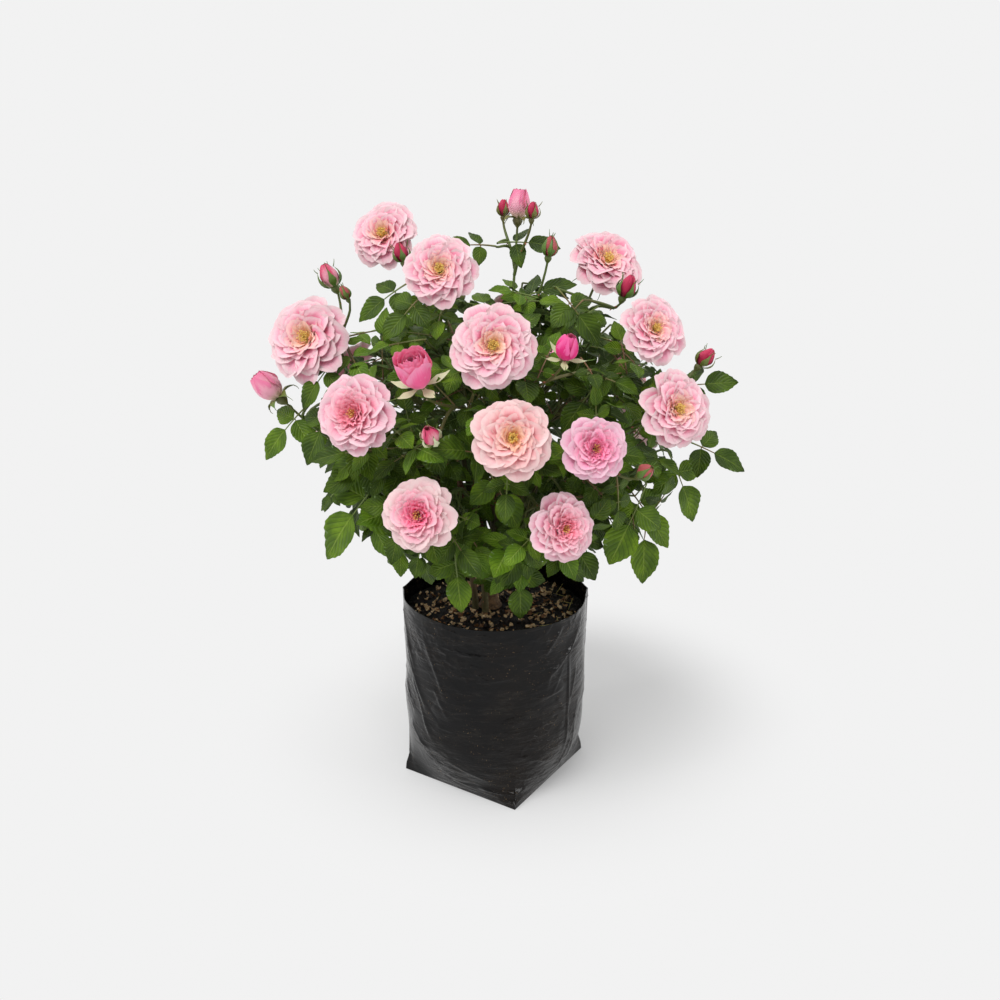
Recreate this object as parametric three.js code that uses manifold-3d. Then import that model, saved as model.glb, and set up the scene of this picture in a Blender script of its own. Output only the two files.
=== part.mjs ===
// A rose bush in its black polythene nursery bag, in millimetres: +Z up, the origin at the middle of the
// bag's flat underside, -Y the side that faces forward. A bearing is measured round +Z from -Y towards +X
// and a climb upwards from level, both in degrees.
import * as THREE from "three";
import { mergeVertices } from "three/addons/utils/BufferGeometryUtils.js";
import Module from "manifold-3d";

const wasm = await Module();
wasm.setup();

// Driving dimensions
const BAG = { mouth: 100, body: 98, side: 146, height: 210, wall: 1.5, turn: -33, square: 0.35 };
const SOIL = { level: 192, edge: 189, flat: 34 };
const STEM = { flare: 11, waist: 7, union: 9.5, neck: 6.2, top: 256, lean: -5 }; // radii, then its place
const CLEAR = 0.3; // between two pieces that touch
const HEART = new THREE.Vector3(0, 0, 330); // where the crown's spaces meet
// The ellipsoid that the leaves fill, over a cone that rises outwards from the stem's foot and is steeper
// at the sides
const CROWN = { middle: 398, width: 258, depth: 236, height: 208, foot: 196, skirt: 0.36, sideSkirt: 0.8 };
// A limb's radii, how far from the heart it enters its mass, and how it leaves the stem or the soil
const LIMB = { root: 3.6, side: 3.2, tip: 2.6, entry: 62, rise: 24, spread: 20, leader: 4, basal: 60 };
const TWIG = { stem: 2.8, stemEnd: 2.1, shoot: 1.9, shootEnd: 1.3, reach: 150, lean: 1.3, bend: 0.45 };
const LEAF = { length: 88, internode: 48, stalk: 0.36, thick: 1.1, turns: 9, apart: 12, offLimb: 5 };
// Leafy shoots: how many over the whole crown, how far out in it they end, and the lowest climb
const FILL = { tips: 64, near: 0.6, far: 0.86, lowest: -32 };
const GOLDEN = 137.508; // degrees between one leaf and the next

const radians = THREE.MathUtils.degToRad;
const UP = new THREE.Vector3(0, 0, 1);

function heading(bearing, climb) {
  const b = radians(bearing);
  const c = radians(climb);
  return new THREE.Vector3(Math.sin(b) * Math.cos(c), -Math.cos(b) * Math.cos(c), Math.sin(c));
}

function fromHeart(bearing, climb, reach) {
  return heading(bearing, climb).multiplyScalar(reach).add(HEART);
}

// A repeatable stream of numbers from 0 to 1
function seeded(seed) {
  let state = seed * 7919 + 101;
  return () => {
    state = (state * 1664525 + 1013904223) % 4294967296;
    return state / 4294967296;
  };
}

// What a shoot ends in
const bloom = (form, bearing, climb, reach, width, faces) =>
  ({ head: "bloom", form, bearing, climb, reach, width, faces });
const bud = (bearing, climb, reach, width, fork = 0) =>
  ({ head: "bud", bearing, climb, reach, width, fork });
const leafy = (bearing, climb, reach) => ({ head: "leaf", bearing, climb, reach });

// The masses: each fills the part of the crown that is nearest its own heading. Its limb springs from the
// main stem at a height, from the soil at a place, or from another mass's limb part of the way along.
const MASSES = [
  { name: "top", bearing: 75, climb: 82, from: "stem", at: STEM.top, shoots: [
    bud(105, 85, 282, 24), bud(158, 85, 279, 14, 0.7), bud(70, 82, 280, 14, 0.66), bud(60, 76, 252, 17)] },
  { name: "upper_left", bearing: -66, climb: 68, from: "stem", at: 247, shoots: [
    bloom("open", -92, 67, 279, 71, [-20, 26]), bud(-79, 69, 255, 16, 0.6),
    bloom("open", -30, 67, 251, 71, [-4, 24])] },
  { name: "upper_right", bearing: 84, climb: 60, from: "stem", at: 244, shoots: [
    bloom("open", 94, 64, 257, 80, [20, 42]), bud(66, 57, 250, 19, 0.5)] },
  { name: "upper_back", bearing: 180, climb: 66, from: "back_high", at: 0.5, shoots: [
    bloom("open", 170, 51, 212, 64, [172, 40]), bud(-164, 54, 234, 20, 0.55)] },
  { name: "left", bearing: -84, climb: 45, from: "upper_left", at: 0.4, shoots: [
    bloom("open", -76, 41, 248, 88, [-18, 24]), bud(-88, 53, 268, 21, 0.5), bud(-80, 54, 249, 12, 0.62)] },
  { name: "front_left", bearing: -40, climb: 27, from: "left_low", at: 0.42, shoots: [
    bloom("rosette", -39, 30, 226, 76, [-20, 20])] },
  { name: "front_high", bearing: -2, climb: 48, from: "stem", at: 240, shoots: [
    bloom("open", 0, 48, 234, 78, [0, 20]), bud(-23, 41, 225, 31), bud(-17, 28, 208, 18, 0.5),
    bud(23, 46, 234, 22)] },
  { name: "front", bearing: 6, climb: 24, from: "front_high", at: 0.25, shoots: [
    bloom("open", 5, 28, 214, 73, [3, 18])] },
  { name: "front_right", bearing: 31, climb: 22, from: "right", at: 0.4, shoots: [
    bloom("rosette", 27, 24, 214, 61, [12, 18]), bud(42, 16, 210, 16, 0.5)] },
  { name: "right_high", bearing: 56, climb: 44, from: "upper_right", at: 0.4, shoots: [
    bloom("open", 61, 46, 246, 68, [22, 26])] },
  { name: "right", bearing: 66, climb: 25, from: "stem", at: 226, shoots: [
    bloom("open", 56, 28, 231, 75, [22, 20]), bud(85, 33, 250, 18, 0.55)] },
  { name: "left_low", bearing: -80, climb: 12, from: "soil", at: [-21, -9], shoots: [
    bud(-82, 26, 249, 28), leafy(-72, 12, 190), leafy(-62, 12, 170)] },
  { name: "low_left", bearing: -25, climb: 2, from: "soil", at: [-10, -19], shoots: [
    bloom("rosette", -21, 8, 189, 70, [-10, 16]), leafy(-50, -6, 140), leafy(-16, -30, 105)] },
  { name: "low_right", bearing: 20, climb: 0, from: "stem", at: 221, shoots: [
    bloom("rosette", 20, 4, 184, 66, [26, 14]), leafy(18, -42, 95), leafy(38, -4, 140)] },
  { name: "right_low", bearing: 70, climb: -2, from: "right", at: 0.25, shoots: [
    leafy(74, 10, 200), leafy(68, -10, 150), leafy(80, 2, 180)] },
  { name: "back_left_high", bearing: -132, climb: 38, from: "stem", at: 229, shoots: [
    bloom("open", -126, 26, 228, 76, [-122, 26]), bud(-145, 38, 240, 22, 0.5)] },
  { name: "back_high", bearing: 178, climb: 36, from: "stem", at: 246, shoots: [
    bloom("rosette", -172, 30, 222, 72, [-176, 28]), bud(160, 24, 226, 26, 0.5)] },
  { name: "back_right_high", bearing: 128, climb: 36, from: "stem", at: 225, shoots: [
    bloom("open", 134, 26, 226, 78, [130, 28]), bud(114, 34, 232, 18, 0.5)] },
  { name: "back_left_low", bearing: -126, climb: 2, from: "back_left_high", at: 0.35, shoots: [
    bloom("rosette", -118, 12, 216, 68, [-112, 20])] },
  { name: "back_low", bearing: 178, climb: 0, from: "stem", at: 222, shoots: [
    bloom("open", 176, 8, 196, 74, [176, 20]), bud(-158, 14, 222, 24, 0.5)] },
  { name: "back_right_low", bearing: 122, climb: 2, from: "back_right_high", at: 0.35, shoots: [
    bloom("rosette", 126, 10, 212, 70, [122, 18])] },
];

// A closed mesh as a solid that can be joined and cut
function solidOf(geometry) {
  const bare = new THREE.BufferGeometry().setAttribute("position", geometry.getAttribute("position"));
  if (geometry.index) bare.setIndex(geometry.index);
  const merged = mergeVertices(bare, 1e-4);
  return new wasm.Manifold(new wasm.Mesh({
    numProp: 3,
    vertProperties: merged.attributes.position.array,
    triVerts: new Uint32Array(merged.index.array),
  }));
}

// The largest body of a solid, as a three.js geometry
function geometryOf(solid) {
  const whole = solid.decompose().sort((a, b) => b.volume() - a.volume())[0];
  const mesh = whole.getMesh();
  const position = new Float32Array(mesh.numVert * 3);
  for (let i = 0; i < mesh.numVert; i++)
    position.set(mesh.vertProperties.subarray(i * mesh.numProp, i * mesh.numProp + 3), i * 3);
  const geometry = new THREE.BufferGeometry();
  geometry.setAttribute("position", new THREE.BufferAttribute(position, 3));
  geometry.setIndex(new THREE.BufferAttribute(mesh.triVerts, 1));
  geometry.computeVertexNormals();
  return geometry;
}

// Rings of points, each joined to the next and closed by a fan at both ends
function skinOf(rings) {
  const sides = rings[0].length;
  const points = rings.flat();
  const faces = [];
  for (let r = 0; r + 1 < rings.length; r++)
    for (let s = 0; s < sides; s++) {
      const a = r * sides + s;
      const b = r * sides + ((s + 1) % sides);
      faces.push(a, b, b + sides, a, b + sides, a + sides);
    }
  const last = (rings.length - 1) * sides;
  for (let s = 1; s + 1 < sides; s++) faces.push(0, s + 1, s, last, last + s, last + s + 1);
  const geometry = new THREE.BufferGeometry().setFromPoints(points);
  geometry.setIndex(faces);
  return geometry;
}

// A limb that tapers along a curve; radius is a function of the share of its length
function limb(curve, radius, sides, steps) {
  const frames = curve.computeFrenetFrames(steps, false);
  const rings = [];
  for (let k = 0; k <= steps; k++) {
    const middle = curve.getPoint(k / steps);
    const ring = [];
    for (let s = 0; s < sides; s++) {
      const turn = (2 * Math.PI * s) / sides;
      const r = radius(k / steps);
      ring.push(middle.clone()
        .addScaledVector(frames.normals[k], r * Math.cos(turn))
        .addScaledVector(frames.binormals[k], r * Math.sin(turn)));
    }
    rings.push(ring);
  }
  return skinOf(rings);
}

const tapered = (from, to) => (share) => from + (to - from) * share;

// The bag and its fill

// The bag's outline at a share of its height: a turned square at the foot that swells to a round body
function bagRing(share, inset, height) {
  const sides = 24;
  const ring = [];
  for (let s = 0; s < sides; s++) {
    const turn = (2 * Math.PI * (s + 0.5 * (sides / 4))) / sides;
    const square = BAG.side / 2 / Math.max(Math.abs(Math.cos(turn)), Math.abs(Math.sin(turn)));
    const round = BAG.body + (BAG.mouth - BAG.body) * share;
    const swell = Math.sin((Math.PI / 2) * Math.min(1, share / BAG.square));
    const radius = square + (round - square) * swell - inset;
    const angle = turn + radians(BAG.turn);
    ring.push(new THREE.Vector3(radius * Math.cos(angle), radius * Math.sin(angle), height));
  }
  return ring;
}

const BAG_SHARES = [0, 0.06, 0.14, 0.24, 0.36, 1];

// A solid of the bag's outline, drawn in from it by an inset, from its floor to a height
function bagBody(inset, top) {
  const shares = BAG_SHARES.filter((share) => share * BAG.height < top);
  const rings = shares.map((share) => bagRing(share, inset, Math.max(inset, share * BAG.height)));
  rings.push(bagRing(Math.min(1, top / BAG.height), inset, top));
  return rings;
}

function nurseryBag() {
  const outer = solidOf(skinOf(bagBody(0, BAG.height)));
  const inner = bagBody(BAG.wall, BAG.height);
  inner.push(bagRing(1, BAG.wall, BAG.height + 10));
  return geometryOf(outer.subtract(solidOf(skinOf(inner))));
}

function pottingMix() {
  const rings = bagBody(BAG.wall + CLEAR, SOIL.edge);
  const scale = SOIL.flat / BAG.mouth;
  rings.push(rings.at(-1).map((p) => new THREE.Vector3(p.x * scale, p.y * scale, SOIL.level)));
  return skinOf(rings);
}

// The woody frame

const stemFoot = SOIL.level + CLEAR;
const stemCurve = new THREE.QuadraticBezierCurve3(
  new THREE.Vector3(STEM.lean, 0, stemFoot),
  new THREE.Vector3(STEM.lean, 0, (stemFoot + STEM.top) / 2),
  new THREE.Vector3(0, 0, STEM.top));

// The stem's radius at a share of its height: it flares at the soil and swells at the bud union
const stemProfile = new THREE.SplineCurve([[0, STEM.flare], [0.15, STEM.waist + 1], [0.35, STEM.waist],
  [0.65, STEM.union], [0.85, STEM.waist], [1, STEM.neck]].map((p) => new THREE.Vector2(...p)));

function stemRadius(share) {
  return stemProfile.getPoint(share).y;
}

function stemSolid(extra) {
  return solidOf(limb(stemCurve, (share) => stemRadius(share) + extra, 9, 7));
}

function onStem(height) {
  return stemCurve.getPoint((height - stemFoot) / (STEM.top - stemFoot));
}

// A limb runs from its root to where it enters its mass
function limbOf(mass, limbs) {
  const parent = limbs[mass.from];
  const basal = mass.from === "soil";
  const leads = mass.at === STEM.top;
  let root = parent ? parent.curve.getPoint(mass.at) : onStem(mass.at);
  if (basal) root = new THREE.Vector3(...mass.at, stemFoot);
  if (leads) root.addScaledVector(UP, CLEAR);
  const entry = fromHeart(mass.bearing, mass.climb, LIMB.entry);
  const out = entry.clone().sub(root).setZ(0).normalize();
  const elbow = root.clone().addScaledVector(UP, basal ? LIMB.basal : LIMB.rise);
  if (!basal) elbow.addScaledVector(out, leads ? LIMB.leader : LIMB.spread);
  const curve = new THREE.QuadraticBezierCurve3(root, elbow, entry);
  return { curve, thick: parent ? LIMB.side : LIMB.root };
}

function limbSolid(made, extra) {
  return solidOf(limb(made.curve, tapered(made.thick + extra, LIMB.tip + extra), 5, 3));
}

// The foliage

// One leaf: a stalk and three leaflets round its joint, flat but for a droop at their tips
function leafSolid(base, along, face, size) {
  const length = LEAF.length * size;
  const joint = LEAF.stalk * length;
  const spread = radians(60);
  const local = (forward, side, lift = 0) => [forward, side, lift - 0.1 * length * (forward / length) ** 2];
  const aside = (far, wide, lift) => local(
    joint + length * (far * Math.cos(spread) + wide * Math.sin(spread)),
    length * (far * Math.sin(spread) - wide * Math.cos(spread)), lift);
  const half = [local(0, 0.6), local(joint - 5, 1.5), aside(0.22, -0.12, 0), aside(0.45, 0, -3),
    aside(0.24, 0.12, 0), local(joint + 0.07 * length, 0.045 * length), local(0.72 * length, 0.19 * length)];
  const outline = [...half, local(length, 0), ...half.map(([x, y, z]) => [x, -y, z]).reverse()];
  const edge = outline.length;
  const centre = local(joint, 0);
  const points = [...outline, [centre[0], 0, centre[2] + LEAF.thick], [centre[0], 0, centre[2] - LEAF.thick],
    [0, 0, 0.5], [0, 0, -0.5]];
  const [top, under, rootTop, rootUnder] = [edge, edge + 1, edge + 2, edge + 3];
  const faces = [];
  for (let i = 0; i + 1 < edge; i++) faces.push(top, i + 1, i, under, i, i + 1);
  faces.push(top, 0, rootTop, top, rootTop, edge - 1, under, rootUnder, 0, under, edge - 1, rootUnder);
  faces.push(rootTop, 0, rootUnder, rootTop, rootUnder, edge - 1);
  const side = new THREE.Vector3().crossVectors(face, along).normalize();
  const normal = new THREE.Vector3().crossVectors(along, side);
  const place = new THREE.Matrix4().makeBasis(along, side, normal).setPosition(base);
  const placed = points.map((p) => new THREE.Vector3(...p).applyMatrix4(place));
  const geometry = new THREE.BufferGeometry().setFromPoints(placed);
  geometry.setIndex(faces);
  return { geometry, tips: placed.slice(1, edge - 1) };
}

// A turned head on a stalk's end; petals notch each ring, half a petal round from the one below
function headSolid(profile, width, sides, petals, notch, centre, faces) {
  const points = profile.map(([r, z]) => new THREE.Vector2((r * width) / 2, (z * width) / 2));
  const geometry = new THREE.LatheGeometry(points, sides);
  const position = geometry.getAttribute("position");
  for (let i = 0; i < position.count; i++) {
    const ring = i % points.length;
    const turn = Math.atan2(position.getX(i), position.getZ(i));
    const scale = 1 - notch * (0.5 - 0.5 * Math.cos(petals * turn + Math.PI * ring));
    position.setXYZ(i, position.getX(i) * scale, position.getY(i), position.getZ(i) * scale);
  }
  geometry.applyQuaternion(new THREE.Quaternion().setFromUnitVectors(new THREE.Vector3(0, 1, 0), faces));
  geometry.translate(centre.x, centre.y, centre.z);
  return solidOf(geometry);
}

// Heads in profile from stalk to tip, in radii: half-open cups, full rosettes and pointed buds
const PROFILES = {
  open: [[0, -0.5], [1, -0.02], [0.82, 0.2], [0.42, 0.36], [0, 0.2]],
  rosette: [[0, -0.55], [1, -0.1], [0.84, 0.24], [0.46, 0.46], [0, 0.4]],
  bud: [[0, -1.5], [0.52, -1.1], [1, -0.2], [0.62, 0.9], [0, 1.35]],
};

// Where a head sits: its middle, the way it faces and the point its stalk runs to
function headOf(shoot) {
  const centre = fromHeart(shoot.bearing, shoot.climb, shoot.reach);
  const outward = centre.clone().sub(HEART).normalize();
  const faces = shoot.faces ? heading(...shoot.faces) : outward.clone().addScaledVector(UP, 0.5).normalize();
  const depth = shoot.head === "bloom" ? 0.2 : 0.6;
  const foot = shoot.head === "leaf" ? centre : centre.clone().addScaledVector(faces, -depth * shoot.width);
  return { centre, faces, foot };
}

// Every head keeps a lens-shaped room of its own, deeper in front than behind
const ROOM = { front: 1.1, behind: 0.3, aside: 0.56 };
const ROOMS = MASSES.flatMap((mass) => mass.shoots)
  .filter((shoot) => shoot.head !== "leaf")
  .map((shoot) => ({ ...headOf(shoot), width: shoot.width }));

function inRoom(point, room) {
  const offset = point.clone().sub(room.centre);
  const ahead = offset.dot(room.faces);
  const aside = Math.sqrt(Math.max(0, offset.lengthSq() - ahead * ahead));
  const deep = room.width * (ahead > 0 ? ROOM.front : ROOM.behind);
  return (ahead / deep) ** 2 + (aside / (room.width * ROOM.aside)) ** 2 < 1;
}

// The space of a mass: nearer its heading than any other, inside the crown and clear of bag and soil
function inSpace(point, mass) {
  const offset = point.clone().sub(HEART);
  const own = heading(mass.bearing, mass.climb);
  for (const other of MASSES) {
    if (other === mass) continue;
    const across = own.clone().sub(heading(other.bearing, other.climb)).normalize();
    if (offset.dot(across) < 0.6) return false;
  }
  const up = (point.z - CROWN.middle) / CROWN.height;
  const full = (point.x / CROWN.width) ** 2 + (point.y / CROWN.depth) ** 2 + up * up;
  const out = Math.hypot(point.x, point.y);
  const slope = THREE.MathUtils.lerp(CROWN.sideSkirt, CROWN.skirt, Math.abs(point.y) / Math.max(out, 1));
  return full < 1 && point.z > CROWN.foot + slope * out;
}

function clearOfLimbs(point, limbs, gap) {
  return limbs.every((made) => made.samples.every((p) => p.distanceTo(point) > LIMB.root + gap));
}

// The stem that a mass grows from, out of its limb's tip
function massStem(mass, limbs) {
  const made = limbs[mass.name];
  const tip = made.curve.getPoint(1);
  const run = made.curve.getTangent(1);
  const start = tip.clone().addScaledVector(run, CLEAR);
  const end = fromHeart(mass.bearing, mass.climb, TWIG.reach);
  const elbow = start.clone().addScaledVector(run, TWIG.bend * start.distanceTo(end));
  return new THREE.QuadraticBezierCurve3(start, elbow, end);
}

// A shoot leaves the stem, or an earlier shoot where it forks, and bends towards its end
function shootCurve(parent, at, foot) {
  const start = parent.getPoint(at);
  const aim = foot.clone().sub(start).normalize();
  const leave = parent.getTangent(at).addScaledVector(aim, TWIG.lean).normalize();
  const elbow = start.clone().addScaledVector(leave, TWIG.bend * start.distanceTo(foot));
  return new THREE.QuadraticBezierCurve3(start, elbow, foot);
}

// A leaf that starts at a share of a shoot, or nothing where no turn of it has room
function leafOn(curve, share, mass, limbs, random, grown) {
  const base = curve.getPoint(share);
  const run = curve.getTangent(share);
  const outward = base.clone().sub(HEART).normalize();
  const level = Math.abs(run.z) > 0.9 ? heading(0, 0) : UP;
  const across = new THREE.Vector3().crossVectors(run, level).normalize();
  const turn = 360 * random();
  const size = 0.8 + 0.4 * random();
  const droop = 0.1 + 0.5 * random();
  for (let k = 0; k < LEAF.turns; k++) {
    const sideways = across.clone().applyAxisAngle(run, radians(turn + GOLDEN * k));
    const along = run.clone().multiplyScalar(share > 0.95 ? 0.8 : 0.3).addScaledVector(sideways, 1)
      .addScaledVector(outward, 0.15).addScaledVector(UP, -droop).normalize();
    const face = UP.clone().multiplyScalar(0.5).addScaledVector(outward, 1).normalize();
    const leaf = leafSolid(base, along, face, size * (1 - 0.05 * k));
    const kept = leaf.tips.every((tip) => inSpace(tip, mass) && !ROOMS.some((room) => inRoom(tip, room)));
    const free = leaf.tips.every((tip) => clearOfLimbs(tip, limbs, LEAF.offLimb)
      && grown.every((other) => tip.distanceTo(other) > LEAF.apart));
    if (kept && free) {
      grown.push(...leaf.tips);
      return solidOf(leaf.geometry);
    }
  }
  return null;
}

// Leaves up a shoot, from the one nearest its root to the bare stretch below its head
function growLeaves(curve, mass, limbs, random, grown, bare) {
  const count = Math.max(1, Math.round((curve.getLength() * (0.9 - bare)) / LEAF.internode));
  const shares = Array.from({ length: count }, (_, k) => 0.2 + ((0.8 - bare) * (k + 0.5)) / count);
  if (bare === 0) shares.push(0.99);
  return shares.map((share) => leafOn(curve, share, mass, limbs, random, grown)).filter((leaf) => leaf);
}

// How far the crown reaches from the heart along a heading
function crownReach(direction) {
  const size = new THREE.Vector3(CROWN.width, CROWN.depth, CROWN.height);
  const along = direction.clone().divide(size);
  const from = new THREE.Vector3(0, 0, HEART.z - CROWN.middle).divide(size);
  const half = along.dot(from);
  return (-half + Math.sqrt(half * half - along.lengthSq() * (from.lengthSq() - 1))) / along.lengthSq();
}

// Leafy shoots end evenly all over the crown, each in the mass whose heading is nearest
function fillShoots(mass) {
  const random = seeded(5);
  const shoots = [];
  for (let k = 0; k < FILL.tips; k++) {
    const climb = THREE.MathUtils.radToDeg(Math.asin(1 - (2 * k + 1) / FILL.tips));
    const bearing = GOLDEN * k;
    const share = FILL.near + (FILL.far - FILL.near) * Math.sqrt(random());
    const direction = heading(bearing, climb);
    const nearness = (other) => direction.dot(heading(other.bearing, other.climb));
    if (climb > FILL.lowest && MASSES.every((other) => nearness(other) <= nearness(mass)))
      shoots.push(leafy(bearing, climb, share * crownReach(direction)));
  }
  return shoots;
}

function massSolid(mass, index, limbs) {
  const random = seeded(index + 1);
  const stem = massStem(mass, limbs);
  const others = Object.values(limbs).filter((made) => made !== limbs[mass.name]);
  const grown = [];
  const solids = [solidOf(limb(stem, tapered(TWIG.stem, TWIG.stemEnd), 3, 3))];
  solids.push(...growLeaves(stem, mass, others, random, grown, 0));
  let main = stem;
  [...mass.shoots, ...fillShoots(mass)].forEach((shoot, order) => {
    const head = headOf(shoot);
    const at = shoot.fork || 0.25 + 0.6 * random();
    const curve = shootCurve(shoot.fork ? main : stem, at, head.foot);
    if (!shoot.fork && shoot.head !== "leaf") main = curve;
    const leafRandom = seeded(100 * (index + 1) + order);
    const path = curve.getPoints(24);
    if (shoot.head === "leaf" && !path.every((p) => inSpace(p, mass)
      && clearOfLimbs(p, others, 2) && !ROOMS.some((room) => inRoom(p, room)))) return;
    solids.push(solidOf(limb(curve, tapered(TWIG.shoot, TWIG.shootEnd), 3, 2)));
    const bare = shoot.head === "leaf" ? 0 : 0.25;
    solids.push(...growLeaves(curve, mass, others, leafRandom, grown, bare));
    if (shoot.head === "bloom")
      solids.push(headSolid(PROFILES[shoot.form], shoot.width, 12, 6, 0.13, head.centre, head.faces));
    if (shoot.head === "bud")
      solids.push(headSolid(PROFILES.bud, shoot.width, 5, 5, 0, head.centre, head.faces));
  });
  return wasm.Manifold.union(solids);
}

// The whole plant

const bark = new THREE.MeshStandardMaterial({ color: 0x5a4328, roughness: 0.85, metalness: 0 });
const greenBark = new THREE.MeshStandardMaterial({ color: 0x55602c, roughness: 0.7, metalness: 0 });
const foliage = new THREE.MeshStandardMaterial({ color: 0x35592a, roughness: 0.5, metalness: 0 });
const film = new THREE.MeshStandardMaterial({ color: 0x121212, roughness: 0.35, metalness: 0 });
const mix = new THREE.MeshStandardMaterial({ color: 0x2a1e14, roughness: 0.95, metalness: 0 });

const bush = new THREE.Group();

function add(name, geometry, material) {
  const mesh = new THREE.Mesh(geometry, material);
  mesh.name = name;
  bush.add(mesh);
}

add("nursery_bag", nurseryBag(), film);
add("potting_mix", pottingMix(), mix);
add("main_stem", geometryOf(stemSolid(0)), bark);

const limbs = {};
const waiting = [...MASSES];
while (waiting.length) {
  const mass = waiting.shift();
  if (MASSES.some((other) => other.name === mass.from) && !limbs[mass.from]) waiting.push(mass);
  else limbs[mass.name] = limbOf(mass, limbs);
}
// Each limb is notched where it sits on the stem or passes a limb before it
let placed = stemSolid(CLEAR);
for (const [name, made] of Object.entries(limbs)) {
  made.samples = made.curve.getPoints(24);
  add(`limb_${name}`, geometryOf(limbSolid(made, 0).subtract(placed)), greenBark);
  placed = placed.add(limbSolid(made, CLEAR));
}
for (const [index, mass] of MASSES.entries())
  add(`foliage_${mass.name}`, geometryOf(massSolid(mass, index, limbs)), foliage);

export default bush;
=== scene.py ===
"""A rose bush in its black polythene nursery bag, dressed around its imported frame: +Z up, -Y forward.

The bush grows here by the rule of the part's source, carried on to finer twigs, whole leaves, petals
and stamens. It is worked out in millimetres, and every mesh is made in metres. A bearing is measured
round +Z from -Y towards +X and a climb upwards from level, both in degrees.
"""
import math

import bpy
import numpy as np
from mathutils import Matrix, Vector, noise


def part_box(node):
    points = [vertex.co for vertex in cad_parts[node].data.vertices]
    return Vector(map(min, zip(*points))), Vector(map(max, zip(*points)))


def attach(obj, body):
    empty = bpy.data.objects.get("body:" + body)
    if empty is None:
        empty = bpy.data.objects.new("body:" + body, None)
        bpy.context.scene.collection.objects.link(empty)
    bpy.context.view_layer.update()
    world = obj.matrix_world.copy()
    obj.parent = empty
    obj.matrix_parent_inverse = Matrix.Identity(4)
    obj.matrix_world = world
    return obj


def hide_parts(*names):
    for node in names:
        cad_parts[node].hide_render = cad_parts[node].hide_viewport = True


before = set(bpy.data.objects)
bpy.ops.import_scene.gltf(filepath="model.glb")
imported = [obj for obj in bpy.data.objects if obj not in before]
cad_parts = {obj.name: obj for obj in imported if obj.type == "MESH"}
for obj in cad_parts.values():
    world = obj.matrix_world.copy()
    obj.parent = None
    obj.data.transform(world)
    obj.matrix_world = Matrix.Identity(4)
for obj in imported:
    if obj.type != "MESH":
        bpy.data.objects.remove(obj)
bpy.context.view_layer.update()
scene = bpy.context.scene
scene.view_settings.view_transform = "Standard"

MM = 0.001
TAU = 2 * math.pi
UP = np.array([0.0, 0.0, 1.0])


# ---------------------------------------------------------------- driving dimensions, in millimetres

BAG_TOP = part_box("nursery_bag")[1].z / MM
MIX_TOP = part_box("potting_mix")[1].z / MM
STEM_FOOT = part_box("main_stem")[0].z / MM
STEM_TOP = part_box("main_stem")[1].z / MM

# The bag: the radii of its mouth and body, the side of its square foot, its turn in degrees, the share
# of its height over which it rounds out, its film's thickness and how far its inner face goes below the
# mix's top
BAG = {"mouth": 100, "body": 98, "side": 146, "turn": -33, "square": 0.35, "film": 0.7, "lining": 12}
# The mix: how far its edge runs into the film, how deep its skirt goes, and how its top is sunk, dished
# and lumpy
MIX = {"past": 0.6, "skirt": 11, "sunk": 1.5, "dish": 3.0, "lumps": 2.6, "lump_pitch": 0.045}
# The main stem's radii from its foot up, the flare of its toe and how fast that dies away, and its lean
STEM = {"flare": 11, "waist": 7, "union": 9.5, "neck": 6.2, "toe": 2.2, "toe_ends": 22, "lean": -5}
HEART = np.array([0.0, 0.0, 330.0])
# The crown is an ellipsoid over a skirt that slopes up from its foot, steeper at the sides
CROWN = {"middle": 398, "size": np.array([258.0, 236.0, 208.0]), "foot": 196, "skirt": 0.36,
         "side_skirt": 0.80}
# The smaller ellipsoid that leaves keep to
LEAVES = {"middle": 382, "size": np.array([204.0, 204.0, 166.0])}
# Limbs: the radii of those from the stem and from other limbs, how far from the heart they enter their
# masses, and how far their elbows rise and spread
LIMB = {"root": 3.6, "side": 3.2, "entry": 62, "rise": 24, "spread": 20, "leader": 4, "basal": 60}
# Twigs: the radii of a mass's stem and of its shoots, how far that stem reaches from the heart, how far
# shoots lean to their ends, how strongly they bend, what part of the stem they fork from and the gap
# under a head
TWIG = {"stem": 2.5, "stem_end": 1.7, "shoot": 1.6, "shoot_end": 1.0, "reach": 150, "lean": 1.3,
        "bend": 0.45, "forks": (0.25, 0.85), "arrive": 0.25, "under_head": 3}
# Rounds of leafy shoots that fill the crown: how many there are over all of it, their seed, and how
# near and how far they end as shares of its reach
FILLS = [(64, 5, 0.6, 0.86), (150, 11, 0.6, 0.86), (120, 17, 0.4, 0.62), (130, 23, 0.26, 0.46)]
LOWEST_FILL = -32
# The lens-shaped room that a head keeps clear, in shares of its width
ROOM = {"front": 1.1, "behind": 0.3, "aside": 0.56}
# How far leaflets and shoots may pass into a neighbouring mass's space
OVER = {"leaflet": 14, "shoot": 4}
# Seeds of what is dealt here and not in the part's source
SEEDS = {"edge_leaves": 9000, "heads": 5000, "next_head": 37, "canes": 900, "creases": 77, "chips": 321}
GOLDEN = 137.508


# ---------------------------------------------------------------- vectors, curves and seeded numbers

def unit(v):
    return v / np.linalg.norm(v, axis=-1, keepdims=True)


def heading(bearing, climb):
    b, c = math.radians(bearing), math.radians(climb)
    return np.array([math.sin(b) * math.cos(c), -math.cos(b) * math.cos(c), math.sin(c)])


def from_heart(bearing, climb, reach):
    return HEART + heading(bearing, climb) * reach


def turned(v, axis, degrees):
    """v turned about a unit axis."""
    a = math.radians(degrees)
    return v * math.cos(a) + np.cross(axis, v) * math.sin(a) + axis * axis.dot(v) * (1 - math.cos(a))


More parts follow.
